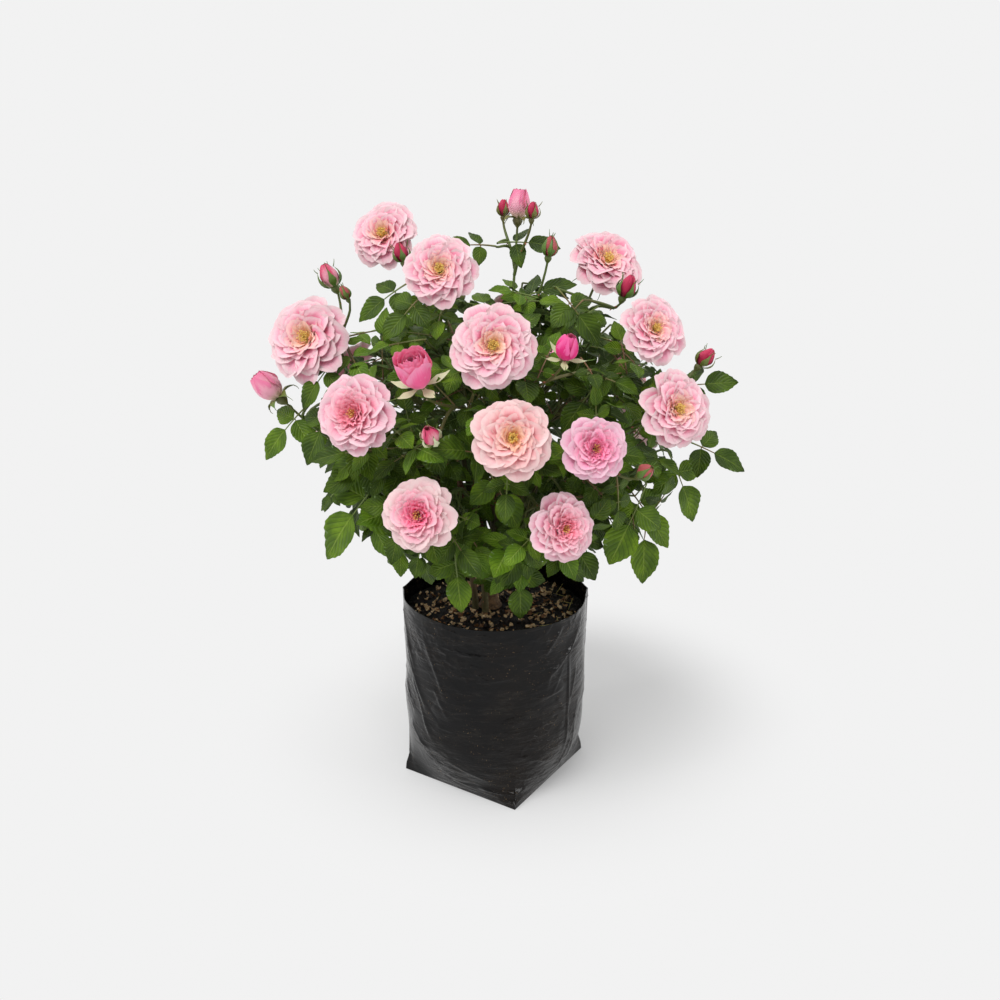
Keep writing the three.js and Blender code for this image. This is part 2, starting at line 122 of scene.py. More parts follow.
def ease(x, low, high):
    """0 below low, 1 above high, and smooth between."""
    t = np.clip((x - low) / (high - low), 0, 1)
    return t * t * (3 - 2 * t)


class Seeded:
    """The same repeatable stream of numbers that the part's source draws."""

    def __init__(self, seed):
        self.state = seed * 7919 + 101

    def __call__(self, low=0.0, high=1.0):
        self.state = (self.state * 1664525 + 1013904223) % 4294967296
        return low + (high - low) * self.state / 4294967296


class Bend:
    """A Bezier curve through its root and end, drawn towards the handles between them."""

    def __init__(self, *points):
        self.points = np.array(points, float)

    def at(self, share):
        points = self.points
        while len(points) > 1:
            points = points[:-1] + (points[1:] - points[:-1]) * share
        return points[0]

    def run(self, share):
        return unit(self.at(min(1, share + 0.001)) - self.at(max(0, share - 0.001)))

    def spread(self, count):
        return np.array([self.at(k / count) for k in range(count + 1)])

    def length(self):
        steps = np.diff(self.spread(40), axis=0)
        return float(np.linalg.norm(steps, axis=1).sum())


# ---------------------------------------------------------------- what grows where

def bloom(form, bearing, climb, reach, width, faces, tone=None):
    tone = tone or {"open": "cream", "rosette": "blush"}[form]
    return {"head": "bloom", "form": form, "bearing": bearing, "climb": climb, "reach": reach,
            "width": width, "faces": faces, "tone": tone, "fork": 0}


def bud(bearing, climb, reach, width, fork=0, form="closed"):
    return {"head": "bud", "form": form, "bearing": bearing, "climb": climb, "reach": reach,
            "width": width, "faces": None, "fork": fork}


def leafy(bearing, climb, reach):
    return {"head": "leaf", "bearing": bearing, "climb": climb, "reach": reach, "width": 0,
            "faces": None, "fork": 0}


def mass(name, bearing, climb, source, at, *shoots):
    return {"name": name, "way": heading(bearing, climb), "bearing": bearing, "climb": climb,
            "from": source, "at": at, "shoots": list(shoots)}


MASSES = [
    mass("top", 75, 82, "stem", STEM_TOP,
         bud(105, 85, 282, 24, 0, "half"), bud(158, 85, 279, 14, 0.7), bud(70, 82, 280, 14, 0.66),
         bud(60, 76, 252, 17, 0, "green")),
    mass("upper_left", -66, 68, "stem", 247,
         bloom("open", -92, 67, 279, 71, (-20, 26)), bud(-79, 69, 255, 16, 0.6),
         bloom("open", -30, 67, 251, 71, (-4, 24))),
    mass("upper_right", 84, 60, "stem", 244,
         bloom("open", 94, 64, 257, 80, (20, 42)), bud(66, 57, 250, 19, 0.5)),
    mass("upper_back", 180, 66, "back_high", 0.5,
         bloom("open", 170, 51, 212, 64, (172, 40)), bud(-164, 54, 234, 20, 0.55)),
    mass("left", -84, 45, "upper_left", 0.4,
         bloom("open", -76, 41, 248, 88, (-18, 24)), bud(-88, 53, 268, 21, 0.5, "striped"),
         bud(-80, 54, 249, 12, 0.62, "green")),
    mass("front_left", -40, 27, "left_low", 0.42,
         bloom("rosette", -39, 30, 226, 76, (-20, 20), "pink")),
    mass("front_high", -2, 48, "stem", 240,
         bloom("open", 0, 48, 234, 78, (0, 20)), bud(-23, 41, 225, 31, 0, "rose"),
         bud(-17, 28, 208, 18, 0.5, "tipped"), bud(23, 46, 234, 22, 0, "hot")),
    mass("front", 6, 24, "front_high", 0.25,
         bloom("open", 5, 28, 214, 73, (3, 18), "peach")),
    mass("front_right", 31, 22, "right", 0.4,
         bloom("rosette", 27, 24, 214, 61, (12, 18), "lilac"), bud(42, 16, 210, 16, 0.5, "green")),
    mass("right_high", 56, 44, "upper_right", 0.4,
         bloom("open", 61, 46, 246, 68, (22, 26))),
    mass("right", 66, 25, "stem", 226,
         bloom("open", 56, 28, 231, 75, (22, 20)), bud(85, 33, 250, 18, 0.55)),
    mass("left_low", -80, 12, "soil", (-21, -9),
         bud(-82, 26, 249, 28, 0, "half"), leafy(-72, 12, 190), leafy(-62, 12, 170)),
    mass("low_left", -25, 2, "soil", (-10, -19),
         bloom("rosette", -21, 8, 189, 70, (-10, 16)), leafy(-50, -6, 140), leafy(-16, -30, 105)),
    mass("low_right", 20, 0, "stem", 221,
         bloom("rosette", 20, 4, 184, 66, (26, 14), "pink"), leafy(18, -42, 95), leafy(38, -4, 140)),
    mass("right_low", 70, -2, "right", 0.25,
         leafy(74, 10, 200), leafy(68, -10, 150), leafy(80, 2, 180)),
    mass("back_left_high", -132, 38, "stem", 229,
         bloom("open", -126, 26, 228, 76, (-122, 26)), bud(-145, 38, 240, 22, 0.5)),
    mass("back_high", 178, 36, "stem", 246,
         bloom("rosette", -172, 30, 222, 72, (-176, 28)), bud(160, 24, 226, 26, 0.5, "half")),
    mass("back_right_high", 128, 36, "stem", 225,
         bloom("open", 134, 26, 226, 78, (130, 28)), bud(114, 34, 232, 18, 0.5)),
    mass("back_left_low", -126, 2, "back_left_high", 0.35,
         bloom("rosette", -118, 12, 216, 68, (-112, 20))),
    mass("back_low", 178, 0, "stem", 222,
         bloom("open", 176, 8, 196, 74, (176, 20), "peach"), bud(-158, 14, 222, 24, 0.5, "half")),
    mass("back_right_low", 122, 2, "back_right_high", 0.35,
         bloom("rosette", 126, 10, 212, 70, (122, 18))),
]

# Leaves that stand out of the crown's outline: the mass, where the end leaflet starts (bearing, climb and
# reach), the heading of its tip, its length and the number of leaflets
EDGE_LEAVES = [
    ("left_low", (-79, 19, 225), (-67, -39), 38, 3), ("left_low", (-68, 23, 199), (-56, -53), 36, 3),
    ("left_low", (-54, 15, 168), (-69, -18), 36, 3), ("low_left", (-54, 1, 170), (-75, -47), 57, 3),
    ("low_left", (-35, -3, 158), (-34, -59), 28, 3), ("low_left", (-16, -22, 140), (14, -70), 37, 3),
    ("low_right", (17, -42, 120), (9, -69), 34, 3), ("front", (3, 14, 134), (57, -55), 38, 3),
    ("low_right", (14, -9, 131), (9, -68), 33, 3), ("low_right", (43, -18, 129), (58, -50), 34, 1),
    ("low_right", (46, 0, 179), (-53, -63), 45, 3), ("right_low", (64, -11, 172), (20, -74), 48, 1),
    ("right_low", (64, -2, 170), (64, -46), 40, 3), ("right_low", (75, 5, 198), (56, -57), 40, 3),
    ("right", (77, 13, 229), (69, -15), 36, 3), ("right", (82, 29, 238), (66, 15), 33, 3),
    ("top", (90, 83, 253), (72, 7), 32, 3), ("top", (-70, 85, 250), (-64, 10), 27, 3),
    ("upper_right", (66, 77, 211), (68, 27), 34, 3), ("upper_right", (48, 61, 219), (62, -42), 35, 3),
    ("upper_right", (47, 62, 222), (-60, -33), 30, 1), ("front_high", (37, 40, 180), (-58, -46), 34, 3),
    ("upper_left", (-60, 60, 236), (-65, -25), 32, 3), ("upper_left", (-42, 58, 229), (-61, -37), 31, 3),
    ("left", (-70, 35, 220), (-59, -42), 31, 3), ("right_high", (61, 43, 198), (55, -42), 29, 3),
]


# A mass that climbs past the first is on top; one whose bearing is within the second is in front, and
# one past the third at the back
SIDE_LIMITS = {"top": 57, "front": 45, "back": 115}


def side_of(grown):
    """The side of the crown that a mass is on, for joining its pieces."""
    if grown["climb"] > SIDE_LIMITS["top"]:
        return "top"
    if abs(grown["bearing"]) <= SIDE_LIMITS["front"]:
        return "front"
    if abs(grown["bearing"]) >= SIDE_LIMITS["back"]:
        return "back"
    return "right" if grown["bearing"] > 0 else "left"


SIDES = ("front", "left", "right", "top", "back")
WAYS = np.array([m["way"] for m in MASSES])


# How far behind a head's middle its stalk ends, in shares of the head's width
HEAD_DEPTH = {"bloom": 0.2, "bud": 0.6, "leaf": 0}


def head_of(shoot):
    """Where a head sits: its middle, the way it faces and the point its stalk runs to."""
    centre = from_heart(shoot["bearing"], shoot["climb"], shoot["reach"])
    faces = heading(*shoot["faces"]) if shoot["faces"] else unit(unit(centre - HEART) + UP * 0.5)
    return centre, faces, centre - faces * HEAD_DEPTH[shoot["head"]] * shoot["width"]


HEADS = [(shoot, *head_of(shoot)) for m in MASSES for shoot in m["shoots"] if shoot["head"] != "leaf"]
ROOM_CENTRES = np.array([centre for _, centre, _, _ in HEADS])
ROOM_WAYS = np.array([faces for _, _, faces, _ in HEADS])
ROOM_WIDTHS = np.array([shoot["width"] for shoot, *_ in HEADS])


def clear_of_heads(points):
    """True if no point lies in the lens-shaped room that each head keeps."""
    offset = points[:, None] - ROOM_CENTRES[None]
    ahead = (offset * ROOM_WAYS[None]).sum(-1)
    aside = np.sqrt(np.maximum(0, (offset ** 2).sum(-1) - ahead ** 2))
    deep = ROOM_WIDTHS * np.where(ahead > 0, ROOM["front"], ROOM["behind"])
    return bool(((ahead / deep) ** 2 + (aside / (ROOM_WIDTHS * ROOM["aside"])) ** 2 >= 1).all())


def in_crown(points, part=CROWN):
    """True if every point is inside a part of the crown and above its skirt."""
    offset = (points - np.array([0, 0, part["middle"]])) / part["size"]
    out = np.hypot(points[:, 0], points[:, 1])
    level = abs(points[:, 1]) / np.maximum(out, 1)
    slope = CROWN["side_skirt"] + (CROWN["skirt"] - CROWN["side_skirt"]) * level
    return bool(((offset ** 2).sum(1) < 1).all() and (points[:, 2] > CROWN["foot"] + slope * out).all())


def in_space(points, own, margin):
    """True if every point is nearer its mass's heading than any other's, but for a margin."""
    across = WAYS[own] - WAYS
    wide = np.linalg.norm(across, axis=1)
    wide[own] = 1
    inside = (points - HEART) @ (across / wide[:, None]).T
    inside[:, own] = 0
    return bool((inside >= -margin).all())


def crown_reach(way):
    """How far the crown reaches from the heart along a heading."""
    along = way / CROWN["size"]
    start = (HEART - np.array([0, 0, CROWN["middle"]])) / CROWN["size"]
    half = along @ start
    return (-half + math.sqrt(half * half - along @ along * (start @ start - 1))) / (along @ along)


def fill_shoots(own, tips, seed, near, far):
    """Leafy shoots that end evenly all over the crown, each in the mass whose heading is nearest."""
    random = Seeded(seed)
    shoots = []
    for k in range(tips):
        climb = math.degrees(math.asin(1 - (2 * k + 1) / tips))
        bearing = GOLDEN * k
        share = near + (far - near) * math.sqrt(random())
        way = heading(bearing, climb)
        if climb > LOWEST_FILL and int(np.argmax(WAYS @ way)) == own:
            shoots.append(leafy(bearing, climb, share * crown_reach(way)))
    return shoots


# ---------------------------------------------------------------- the woody frame

STEM_CURVE = Bend((STEM["lean"], 0, STEM_FOOT), (STEM["lean"], 0, (STEM_FOOT + STEM_TOP) / 2),
                  (0, 0, STEM_TOP))


def limb_of(grown, limbs):
    """The limb of a mass, from its root to where it enters the mass."""
    parent = limbs.get(grown["from"])
    if parent:
        root = parent.at(grown["at"])
    elif grown["from"] == "soil":
        root = np.array([*grown["at"], STEM_FOOT], float)
    else:
        root = STEM_CURVE.at((grown["at"] - STEM_FOOT) / (STEM_TOP - STEM_FOOT))
    entry = from_heart(grown["bearing"], grown["climb"], LIMB["entry"])
    out = unit((entry - root) * np.array([1, 1, 0]))
    if grown["from"] == "soil":
        elbow = root + UP * LIMB["basal"]
    else:
        spread = LIMB["leader"] if grown["at"] == STEM_TOP else LIMB["spread"]
        elbow = root + UP * LIMB["rise"] + out * spread
    return Bend(root, elbow, entry)


def grow_limbs():
    limbs = {}
    waiting = list(MASSES)
    while waiting:
        grown = waiting.pop(0)
        if grown["from"] in ("stem", "soil") or grown["from"] in limbs:
            limbs[grown["name"]] = limb_of(grown, limbs)
        else:
            waiting.append(grown)
    return limbs


def mass_stem(grown, limbs):
    """The stem that a mass grows from, on from its limb's tip."""
    limb = limbs[grown["name"]]
    start, end = limb.at(1), from_heart(grown["bearing"], grown["climb"], TWIG["reach"])
    return Bend(start, start + limb.run(1) * TWIG["bend"] * np.linalg.norm(end - start), end)


def shoot_curve(parent, at, foot, faces):
    """A shoot leaves its parent at an angle and comes up to its foot the way that its head faces."""
    start = parent.at(at)
    reach = np.linalg.norm(foot - start)
    leave = unit(parent.run(at) + unit(foot - start) * TWIG["lean"])
    return Bend(start, start + leave * TWIG["bend"] * reach, foot - faces * TWIG["arrive"] * reach, foot)


# ---------------------------------------------------------------- growing the crown

# A leaf: its length and the gap to the next, the gap between leaflets' middles, how often it turns to
# find room and how much it shrinks each time, the ranges of its size and droop, how many have five
# leaflets, and its arch
LEAF = {"length": 88, "internode": 26, "apart": 10.5, "turns": 8, "shrink": 0.05, "sizes": (0.7, 1.12),
        "droops": (0.15, 0.7), "fives": 0.6, "arch": 0.12}
# Where leaves sit on a shoot, as shares of it: the lowest, the part they share, and the last one's place
ALONG = {"lowest": 0.2, "part": 0.8, "counted": 0.9, "last": 0.99, "bare_under_head": 0.25}
# How a leaf stands: how far it follows its shoot's run and outwards, and how far its face turns up,
# outwards, to its own side, and to the front or back
STANCE = {"run": 0.35, "run_at_tip": 0.8, "out": 0.35, "up": 0.6, "face_out": 0.9, "aside": 0.2,
          "light": 0.45}
# A compound leaf's leaflets from its tip down: where each sits and how long it is, as shares of the
# leaf, and its angle from the stalk
LEAFLETS = [(0.64, 0.42, 0), (0.50, 0.34, 76), (0.50, 0.34, -76), (0.20, 0.27, 80), (0.20, 0.27, -80)]
# A leaflet: how far it dips, more so at the leaf's tip, its gap from the stalk, its tilt, and the
# ranges of its width, fold and curl as shares of its length
LEAFLET = {"dip": 0.1, "tip_dip": 0.2, "gap": 1.5, "tilt": 0.2, "widths": (0.64, 0.76),
           "folds": (0.06, 0.24), "curls": (0.04, 0.2)}
# Leaf stalks: their radii at foot and tip and under a side leaflet, where that short stalk starts and
# ends, and the steps of a long one
STALK = {"foot": 0.95, "tip": 0.55, "side": 0.5, "back": 2.6, "on": 1.2, "steps": 6}
# An edge leaf: how its face turns up, outwards and to the front, where its twig meets its stalk, its
# detour when its carrier points away, the part of a carrier that it may leave from, and the length that
# is green
EDGE = {"up": 0.55, "out": 0.4, "front": 0.9, "meets": {3: 0.26, 1: 0.5}, "detour": 2.2, "onward": 1.6,
        "carried": (0.3, 0.72), "places": 10, "green": 36}
# Prickles: the length of shoot for each, the part of it that bears them, where their roots sit in
# shares of its radius, their lean back, the climb of their turn and their lengths
PRICKLE = {"every": 28, "part": (0.05, 0.85), "sunk": 0.8, "back": 0.35, "climb": 30,
           "lengths": (1.6, 3.0)}
# The hip under a head: how far behind its middle and how wide, in shares of its radius
BUD_HIP = [(1.55, 0.0), (1.25, 0.34), (1.0, 0.44), (0.74, 0.36)]
BLOOM_HIP = [(0.66, 0.0), (0.52, 0.11), (0.42, 0.14), (0.32, 0.10)]
# The greens dealt to shoots that end inside a share of the crown's reach, and outside it
SHADED = 0.8
TINTS_INSIDE = ("deep", "deep", "green", "fresh")
TINTS_OUTSIDE = ("deep", "green", "green", "fresh", "young")


class Crown:
    """Everything that the masses grow, gathered by kind and by side of the crown."""

    def __init__(self):
        self.shoots = []
        self.stalks = []
        self.prickles = []
        self.leaflets = {side: [] for side in SIDES}
        self.centres = np.zeros((0, 3))

    def spaced(self, centres):
        if not len(self.centres):
            return True
        gaps = np.linalg.norm(self.centres[None] - centres[:, None], axis=2)
        return bool(gaps.min() > LEAF["apart"])

    def leaf(self, curve, share, own, side, random, tint):
        """A leaf at a share of a shoot, turned until it has room; returns its share, or 0 for none."""
        base, run = curve.at(share), curve.run(share)
        outward = unit(base - HEART)
        across = unit(np.cross(run, heading(0, 0) if abs(run[2]) > 0.9 else UP))
        turn, size, droop = random(0, 360), random(*LEAF["sizes"]), random(*LEAF["droops"])
        light = np.array([0, math.copysign(STANCE["light"], base[1]), 0])
        count = 5 if random() < LEAF["fives"] else 3
        onward = STANCE["run_at_tip"] if share > 0.95 else STANCE["run"]
        for k in range(LEAF["turns"]):
            sideways = turned(across, run, turn + GOLDEN * k)
            along = unit(run * onward + sideways + outward * STANCE["out"] - UP * droop)
            face = unit(UP * STANCE["up"] + outward * STANCE["face_out"] + sideways * STANCE["aside"]
                        + light)
            length = LEAF["length"] * size * (1 - LEAF["shrink"] * k)
            blades = self.spread_leaf(base, along, face, length, count)
            if self.has_room(blades, own):
                self.add_leaf(base, along, face, blades, side, random, tint)
                return share
        return 0

    def spread_leaf(self, base, along, face, length, count):
        """The leaflets of a leaf: where each starts, the way it points and its length."""
        across = unit(np.cross(face, along))
        normal = np.cross(along, across)

        def stalk_at(share):
            return base + along * length * share - normal * length * LEAF["arch"] * share ** 2

        blades = []
        for share, size, angle in LEAFLETS[:count]:
            dip = LEAFLET["dip"] + LEAFLET["tip_dip"] * share
            way = unit(turned(along, normal, angle) - normal * dip)
            blades.append((stalk_at(share) + way * LEAFLET["gap"], way, length * size))
        return blades

    def has_room(self, blades, own):
        tips = np.array([start + way * size for start, way, size in blades])
        middles = np.array([start + way * size * 0.5 for start, way, size in blades])
        return (in_crown(tips, LEAVES) and in_space(tips, own, OVER["leaflet"]) and self.spaced(middles)
                and clear_of_heads(np.vstack([tips, middles])))

    def add_leaf(self, base, along, face, blades, side, random, tint):
        """Keeps a leaf: its leaflets, its stalk and the short stalks of its side leaflets."""
        normal = unit(face - along * face.dot(along))
        middles = [start + way * size * 0.5 for start, way, size in blades]
        self.centres = np.vstack([self.centres, middles])
        for start, way, size in blades:
            lean = unit(normal + np.array([random(-1, 1) for _ in range(3)]) * LEAFLET["tilt"])
            width, fold = random(*LEAFLET["widths"]), random(*LEAFLET["folds"])
            curl, phase = random(*LEAFLET["curls"]), random()
            self.leaflets[side].append((start, way, lean, size, width, fold, curl, phase, tint))
        tip = blades[0][0]
        path = Bend(base, base + along * np.linalg.norm(tip - base) * 0.5, tip)
        radii = np.linspace(STALK["foot"], STALK["tip"], STALK["steps"] + 1)
        self.stalks.append((list(path.spread(STALK["steps"])), radii))
        for start, way, _ in blades[1:]:
            stub = [start - way * STALK["back"], start + way * STALK["on"]]
            self.stalks.append((stub, [STALK["side"]] * 2))

    def edge_leaf(self, grown, carriers, start, faces, size, count):
        """A leaf of the crown's outline, on a twig of its own from the stem or shoot that suits it."""
        random = Seeded(SEEDS["edge_leaves"] + len(self.centres))
        tip_way = heading(*faces)
        start = from_heart(*start)
        length = size / LEAFLETS[0][1]
        base = start - tip_way * length * LEAFLETS[0][0]
        face = unit(UP * EDGE["up"] + unit(start - HEART) * EDGE["out"] + np.array([0, -EDGE["front"], 0]))
        blades = self.spread_leaf(base, tip_way, face, length, count)
        base = base + tip_way * length * EDGE["meets"][count]
        tint = "green" if size > EDGE["green"] else "deep"
        self.add_leaf(base, tip_way, face, blades, side_of(grown), random, tint)

        def detour(carrier, share):
            gap = base - carrier.at(share)
            return np.linalg.norm(gap) * (EDGE["detour"] - unit(gap).dot(tip_way))

        shares = np.linspace(*EDGE["carried"], EDGE["places"])
        _, order, share = min((detour(carrier, share), k, share) for k, carrier in enumerate(carriers)
                              for share in shares)
        arrives = unit(tip_way * EDGE["onward"] + unit(base - HEART))
        curve = shoot_curve(carriers[order], share, base, arrives)
        self.twig(curve, (TWIG["shoot"], TWIG["shoot_end"]), 8)

    def leaves_on(self, curve, own, side, random, bare, tint):
        """Leaves along a shoot, none on its bare end; returns how far up it the last one grew."""
        count = max(1, round(curve.length() * (ALONG["counted"] - bare) / LEAF["internode"]))
        shares = [ALONG["lowest"] + (ALONG["part"] - bare) * (k + 0.5) / count for k in range(count)]
        if bare == 0:
            shares.append(ALONG["last"])
        return max(self.leaf(curve, share, own, side, random, tint) for share in shares)

    def thorns_on(self, curve, radii, random):
        for _ in range(int(curve.length() / PRICKLE["every"])):
            share = random(*PRICKLE["part"])
            run = curve.run(share)
            across = unit(np.cross(run, heading(random(0, 360), PRICKLE["climb"])))
            radius = radii[0] + (radii[1] - radii[0]) * share
            root = curve.at(share) + across * radius * PRICKLE["sunk"]
            self.prickles.append((root, unit(across - run * PRICKLE["back"]), random(*PRICKLE["lengths"])))

    def twig(self, curve, radii, steps, shoot=None, reach=1.0):
        """A round twig; under a head it swells into the head's hip."""
        points = [curve.at(reach * k / steps) for k in range(steps + 1)]
        widths = list(np.linspace(radii[0], radii[1], steps + 1))
        if shoot:
            centre, faces, _ = head_of(shoot)
            radius = shoot["width"] / 2
            hip = BUD_HIP if shoot["head"] == "bud" else BLOOM_HIP
            gap = hip[0][0] * radius + TWIG["under_head"]
            clear = [k for k, point in enumerate(points) if np.linalg.norm(point - centre) > gap]
            points = [points[k] for k in clear] + [centre - faces * back * radius for back, _ in hip]
            widths = [widths[k] for k in clear] + [max(swell * radius, radii[1]) for _, swell in hip]
        self.shoots.append((points, widths))

    def grow(self, own, grown, limbs):
        """Grows a mass: its stem, the shoots that bear its heads, its edge leaves and its leafy shoots."""
        side = side_of(grown)
        random = Seeded(own + 1)
        stem = mass_stem(grown, limbs)
        self.twig(stem, (TWIG["stem"], TWIG["stem_end"]), 8)
        self.thorns_on(stem, (TWIG["stem"], TWIG["stem_end"]), random)
        self.leaves_on(stem, own, side, random, 0, "deep")
        shoots = grown["shoots"] + [shoot for fill in FILLS for shoot in fill_shoots(own, *fill)]
        main, curves = stem, []
        for shoot in shoots:
            _, faces, foot = head_of(shoot)
            at = shoot["fork"] or random(*TWIG["forks"])
            curves.append(shoot_curve(main if shoot["fork"] else stem, at, foot, faces))
            if not shoot["fork"] and shoot["head"] != "leaf":
                main = curves[-1]
        carriers = [stem] + [curve for curve, shoot in zip(curves, shoots) if shoot["head"] != "leaf"]
        for name, *leaf in EDGE_LEAVES:
            if name == grown["name"]:
                self.edge_leaf(grown, carriers, *leaf)
        for order, (shoot, curve) in enumerate(zip(shoots, curves)):
            self.clothe(own, side, shoot, curve, Seeded(100 * (own + 1) + order))

    def clothe(self, own, side, shoot, curve, random):
        """A shoot with its leaves; a leafy one ends at its last leaf, or isn't there if it has no room."""
        leafy_end = shoot["head"] == "leaf"
        path = curve.spread(16)
        fits = in_crown(path) and in_space(path, own, OVER["shoot"]) and clear_of_heads(path)
        if leafy_end and not fits:
            return
        foot = head_of(shoot)[2]
        far = np.linalg.norm(foot - HEART) / crown_reach(unit(foot - HEART))
        tints = TINTS_INSIDE if far < SHADED else TINTS_OUTSIDE
        tint = tints[int(random(0, len(tints) - 0.001))]
        bare = 0 if leafy_end else ALONG["bare_under_head"]
        last = self.leaves_on(curve, own, side, random, bare, tint)
        if not leafy_end:
            self.twig(curve, (TWIG["shoot"] + 0.2, TWIG["shoot_end"] + 0.1), 10, shoot)
            self.thorns_on(curve, (TWIG["shoot"], TWIG["shoot_end"]), random)
        elif last:
            self.twig(curve, (TWIG["shoot"], TWIG["shoot_end"]), 7, reach=last)


# ---------------------------------------------------------------- node trees

class Value:
    """A socket that varies over a surface; arithmetic on it adds Math nodes."""

    def __init__(self, tree, socket):
        self.tree, self.socket = tree, socket

    def _math(self, operation, first, second):
        return self.tree.add("ShaderNodeMath", {"operation": operation}, first, second)

    def __add__(self, other):
        return self._math("ADD", self, other)

    def __sub__(self, other):
        return self._math("SUBTRACT", self, other)

    def __mul__(self, other):
        return self._math("MULTIPLY", self, other)

    def __pow__(self, other):
        return self._math("POWER", self, other)

    def __rsub__(self, other):
        return self._math("SUBTRACT", other, self)

    __radd__, __rmul__ = __add__, __mul__

    def most(self, other):
        return self._math("MAXIMUM", self, other)

    def size(self):
        return self._math("ABSOLUTE", self, 0)

    def ridge(self, level, sharp):
        """1 where the value is at a level, falling to 0 on both sides of it."""
        return (1.0 - (self - level).size() * sharp).most(0.0)

    def between(self, low, high):
        """0 where the value is under low, 1 over high, and smooth between."""
        return self.tree.add("ShaderNodeMapRange", {"interpolation_type": "SMOOTHSTEP"},
                             self, low, high, 0.0, 1.0)


class Tree:
    """A node tree. Each node is added with its type, its settings and what feeds its sockets."""

    def __init__(self, tree):
        self.tree = tree

    def add(self, kind, settings=None, *values, out=0, **named):
        node = self.tree.nodes.new(kind)
        for key, setting in (settings or {}).items():
            setattr(node, key, setting)
        sockets = {socket.identifier: socket for socket in node.inputs}
        for key, value in [*enumerate(values), *named.items()]:
            socket = node.inputs[key] if isinstance(key, int) else sockets.get(key) or node.inputs[key]
            if isinstance(value, Value):
                self.tree.links.new(value.socket, socket)
            elif value is not None:
                socket.default_value = value
        outputs = {socket.identifier: socket for socket in node.outputs}
        return Value(self, outputs[out] if isinstance(out, str) else node.outputs[out])

    def blend(self, share, first, second):
        def rgba(c):
            return c if isinstance(c, Value) else (*c, 1)
        return self.add("ShaderNodeMix", {"data_type": "RGBA"}, Factor_Float=share, A_Color=rgba(first),
                        B_Color=rgba(second), out="Result_Color")


def colour(code):
    """A colour written as six hexadecimal digits, as linear light."""
    parts = [int(code[k:k + 2], 16) / 255 for k in (0, 2, 4)]
    return tuple(p / 12.92 if p <= 0.04045 else ((p + 0.055) / 1.055) ** 2.4 for p in parts)


class Finish(Tree):
    """A material built up from nodes round one Principled shader."""

    def __init__(self, name):
        self.material = bpy.data.materials.new(name)
        self.material.use_nodes = True
        super().__init__(self.material.node_tree)
        self.shader = self.tree.nodes["Principled BSDF"]

    def place(self):
        return self.add("ShaderNodeTexCoord", out="Object")

    def across(self):
        """The two coordinates of the piece's own map, from 0 to 1."""
        uv = self.add("ShaderNodeUVMap", {"uv_map": "blade"})
        split = self.tree.nodes.new("ShaderNodeSeparateXYZ")
        self.tree.links.new(uv.socket, split.inputs[0])
        return Value(self, split.outputs[0]), Value(self, split.outputs[1])

    def cloud(self, scale, detail=3.0, rough=0.5, at=None, stretch=None):
        """Noise in the piece's own metres, stretched where a stretch is given."""
        at = at or self.place()
        if stretch:
            at = self.add("ShaderNodeMapping", None, at, Scale=stretch)
        return self.add("ShaderNodeTexNoise", None, Vector=at, Scale=scale, Detail=detail,
                        Roughness=rough)

    def bump(self, height, distance, strength):
        return self.add("ShaderNodeBump", None, Height=height, Distance=distance, Strength=strength)

    def set(self, **sockets):
        for key, value in sockets.items():
            socket = self.shader.inputs[key.replace("_", " ")]
            if isinstance(value, Value):
                self.tree.links.new(value.socket, socket)
            else:
                socket.default_value = (*value, 1) if socket.type == "RGBA" else value
        return self.material


# ---------------------------------------------------------------- finishes

# A leaf's side veins: how they slant forwards from its rib and how close they lie
VEINS = {"slant": 0.85, "close": 44.0}


def vein_wave(f, v, off):
    """Waves from -1 to 1 that run out from a leaf's rib, between one side vein and the next."""
    return f.add("ShaderNodeMath", {"operation": "SINE"}, (v - off * VEINS["slant"]) * VEINS["close"])


def leaf_finish(name, dark, light, rib, gloss):
    """A leaf's upper face: quilted between its side veins, with painted shade darkening the grooves of the
    veins, and a paler rib.
    """
    f = Finish(name)
    u, v = f.across()
    off = (u - 0.5).size()
    quilt = vein_wave(f, v, off) * 0.5 + 0.5
    # Painted shade: the grooves along the side veins are darkened in colour
    groove_shade = (1.0 - quilt).between(0.86, 1.0) * (1.0 - off.between(0.40, 0.5))
    midrib = 1.0 - off.between(0.012, 0.035)
    mottle = f.cloud(55.0)
    groove_shade_colour = tuple(0.45 * part for part in dark)
    base = f.blend(mottle.between(0.35, 0.7), dark, light)
    base = f.blend(groove_shade * 0.55, base, groove_shade_colour)
    base = f.blend(midrib * 0.42, base, rib)
    fine = f.cloud(900.0, 2.0)
    bump = f.bump(quilt * 0.75 + fine * 0.1 - midrib * 0.5, 0.0008, 0.75)
    rough = mottle * 0.18 + off.between(0.42, 0.5) * 0.3 + gloss
    return f.set(Base_Color=base, Roughness=rough, Normal=bump, Specular_IOR_Level=0.22)


def underleaf_finish():
    """A leaf's lower face: pale, matt, with raised veins."""
    f = Finish("leaf_under")
    u, v = f.across()
    off = (u - 0.5).size()
    base = f.blend(f.cloud(60.0), colour("566E38"), colour("6E864C"))
    base = f.blend((1.0 - off.between(0.012, 0.04)) * 0.7, base, colour("A6B27C"))
    return f.set(Base_Color=base, Roughness=0.72, Normal=f.bump(vein_wave(f, v, off), 0.0004, 0.6))


